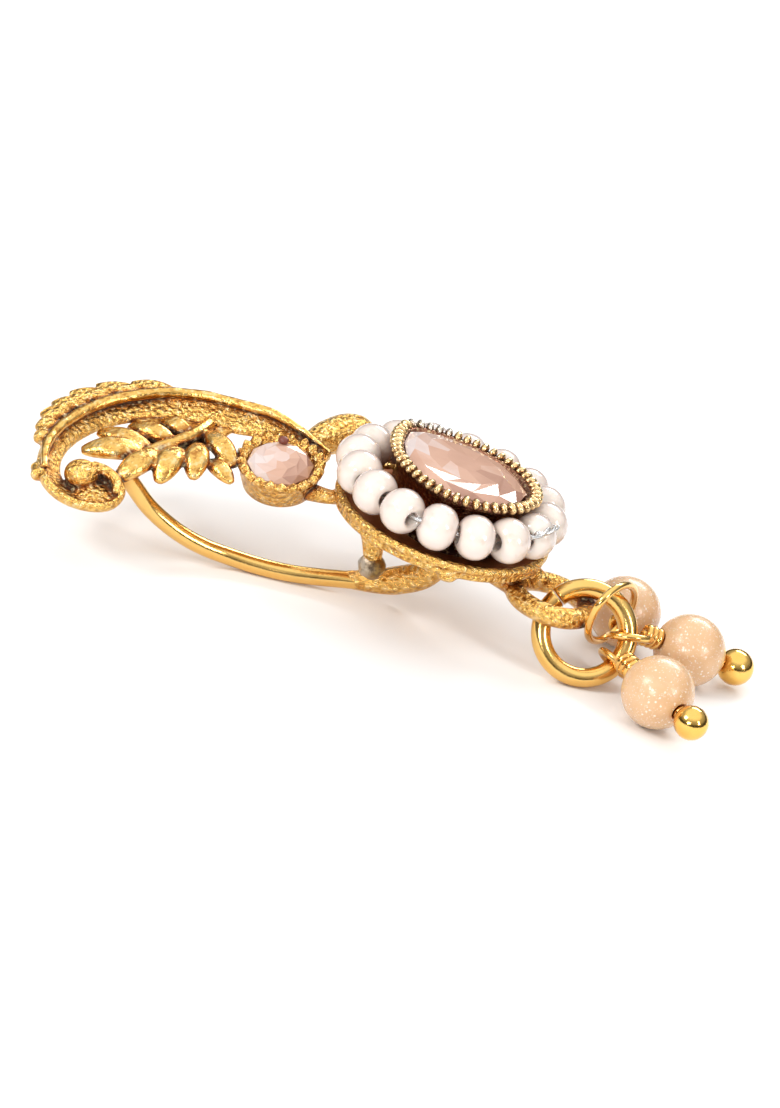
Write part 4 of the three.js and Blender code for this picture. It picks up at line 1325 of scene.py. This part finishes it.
# %% Drops
drop_rows = [
    ("a", -135, (2.464, -0.855), -40.0, 4.3, 1.15, 1.05, 1.3, 1.94),
    ("b", -97, (2.954, 2.069), 26.7, 14.0, 1.235, 1.1, 1.2, 2.12),
    ("c", -58, (1.597, 2.815), 91.9, 8.3, 2.93, 1.82, 1.0, 1.6),
]
bent_up = (Vector((0.172, 0.793, -0.584)).normalized(), Vector((-0.897, 0.372, 0.24)))
for name, at, (start_x, start_y), heading, dip, long_half, wide_half, coil, ball_size in drop_rows:
    grip = on_ring(at)
    tangent = (on_ring(at + 1) - on_ring(at - 1)).normalized()
    head, down = math.radians(heading), math.radians(dip)
    axis = Vector((math.cos(down) * math.cos(head), math.cos(down) * math.sin(head), -math.sin(down)))
    reach = bead_half * 0.96 + coil
    coil_start = Vector((ring_at.x + start_x, ring_at.y + start_y, bead_half + 0.02 - axis.z * reach))
    bead = coil_start + axis * reach
    loop_axis, face = bent_up if name == "c" else ((coil_start - grip).normalized(), tangent)
    loop_place = facing(coil_start - loop_axis * long_half, loop_axis, face)
    pin_place = facing(bead, (0, 0, 1), axis)
    bm = bmesh.new()
    hoop(bm, loop_place, long_half, wide_half, pin_wire, 72, 12)
    wire(bm, [coil_start, bead + axis * (bead_half + 0.4)], [pin_wire, pin_wire], 4, 12)
    wire(bm, [pin_place @ point for point in coil_path(coil)], [pin_wire, pin_wire], 120, 10, tuple(axis))
    turned(bm, washer_profile, 24, where=pin_place)
    headpin = gold_piece(f"headpin_wire_{name}", bm, wire_gold)
    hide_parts(f"headpin_{name}")
    bm = bmesh.new()
    blob(bm, (0, 0, bead_half + ball_size / 2 - 0.02), ball_size, (1, 1, 1), pin_place)
    gold_piece(f"pin_ball_{name}", bm, ball_gold)
    bm = bmesh.new()
    turned(bm, bead_profile, 56, closed=True, where=pin_place)
    glass = piece(f"peach_bead_{name}", bm, peach_glass)
    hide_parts(f"glass_bead_{name}")

# %% [markdown]
# ## Measuring the recesses
#
# Residue gathers where a polishing cloth can't reach, and these hollows also lie in shade. From every point
# of the gold a handful of short rays goes out. The more of them hit gold close by, and the closer it is, the
# deeper the place. Sides that look down count as a little deeper too, which is painted shade. The number is
# stored on the mesh, where the finishes above read it as partly real residue and partly painted shade.
# Measuring once on the mesh costs seconds and stays the same from every side.

# %% Recess and painted shade attribute
all_points, all_faces = [], []
for o in [*gold_pieces, cup_floor]:
    base = len(all_points)
    all_points += [v.co.copy() for v in o.data.vertices]
    all_faces += [tuple(i + base for i in f.vertices) for f in o.data.polygons]
around = BVHTree.FromPolygons(all_points, all_faces)
ray_count, golden_angle, widest = 14, 2.39996, 0.93
rays = []
for i in range(ray_count):
    z = 1 - (i + 0.5) / ray_count * widest
    r = math.sqrt(max(0.0, 1 - z * z))
    rays.append(Vector((math.cos(i * golden_angle) * r, math.sin(i * golden_angle) * r, z)))
far = 1.1 * MM
clear_of_skin = 0.03 * MM


def mark_recess_and_shade(made):
    mesh = made.data
    values = []
    for vert in mesh.vertices:
        up_way = vert.normal
        turn = up_way.to_track_quat("Z", "Y")
        start = vert.co + up_way * clear_of_skin
        total = 0.0
        for ray in rays:
            hit = around.ray_cast(start, turn @ ray, far)
            if hit[0] is not None:
                total += 1 - hit[3] / far
        # Sides that face down add painted shade to the value.
        side = max(0.0, 0.35 - up_way.z) * 0.22
        values.append(min(1.0, total / len(rays) * 2.2 + side))
    near = [[] for _ in values]
    for edge in mesh.edges:
        a, b = edge.vertices
        near[a].append(values[b])
        near[b].append(values[a])
    soft = [(v * 2 + sum(n)) / (2 + len(n)) for v, n in zip(values, near)]
    layer = mesh.attributes.new("recess_and_shade", "FLOAT", "POINT")
    layer.data.foreach_set("value", soft)
    return sum(soft) / len(soft)


for made in [*gold_pieces, cup_floor, speck]:
    print(f"{made.name}: mean recess {mark_recess_and_shade(made):.2f}")
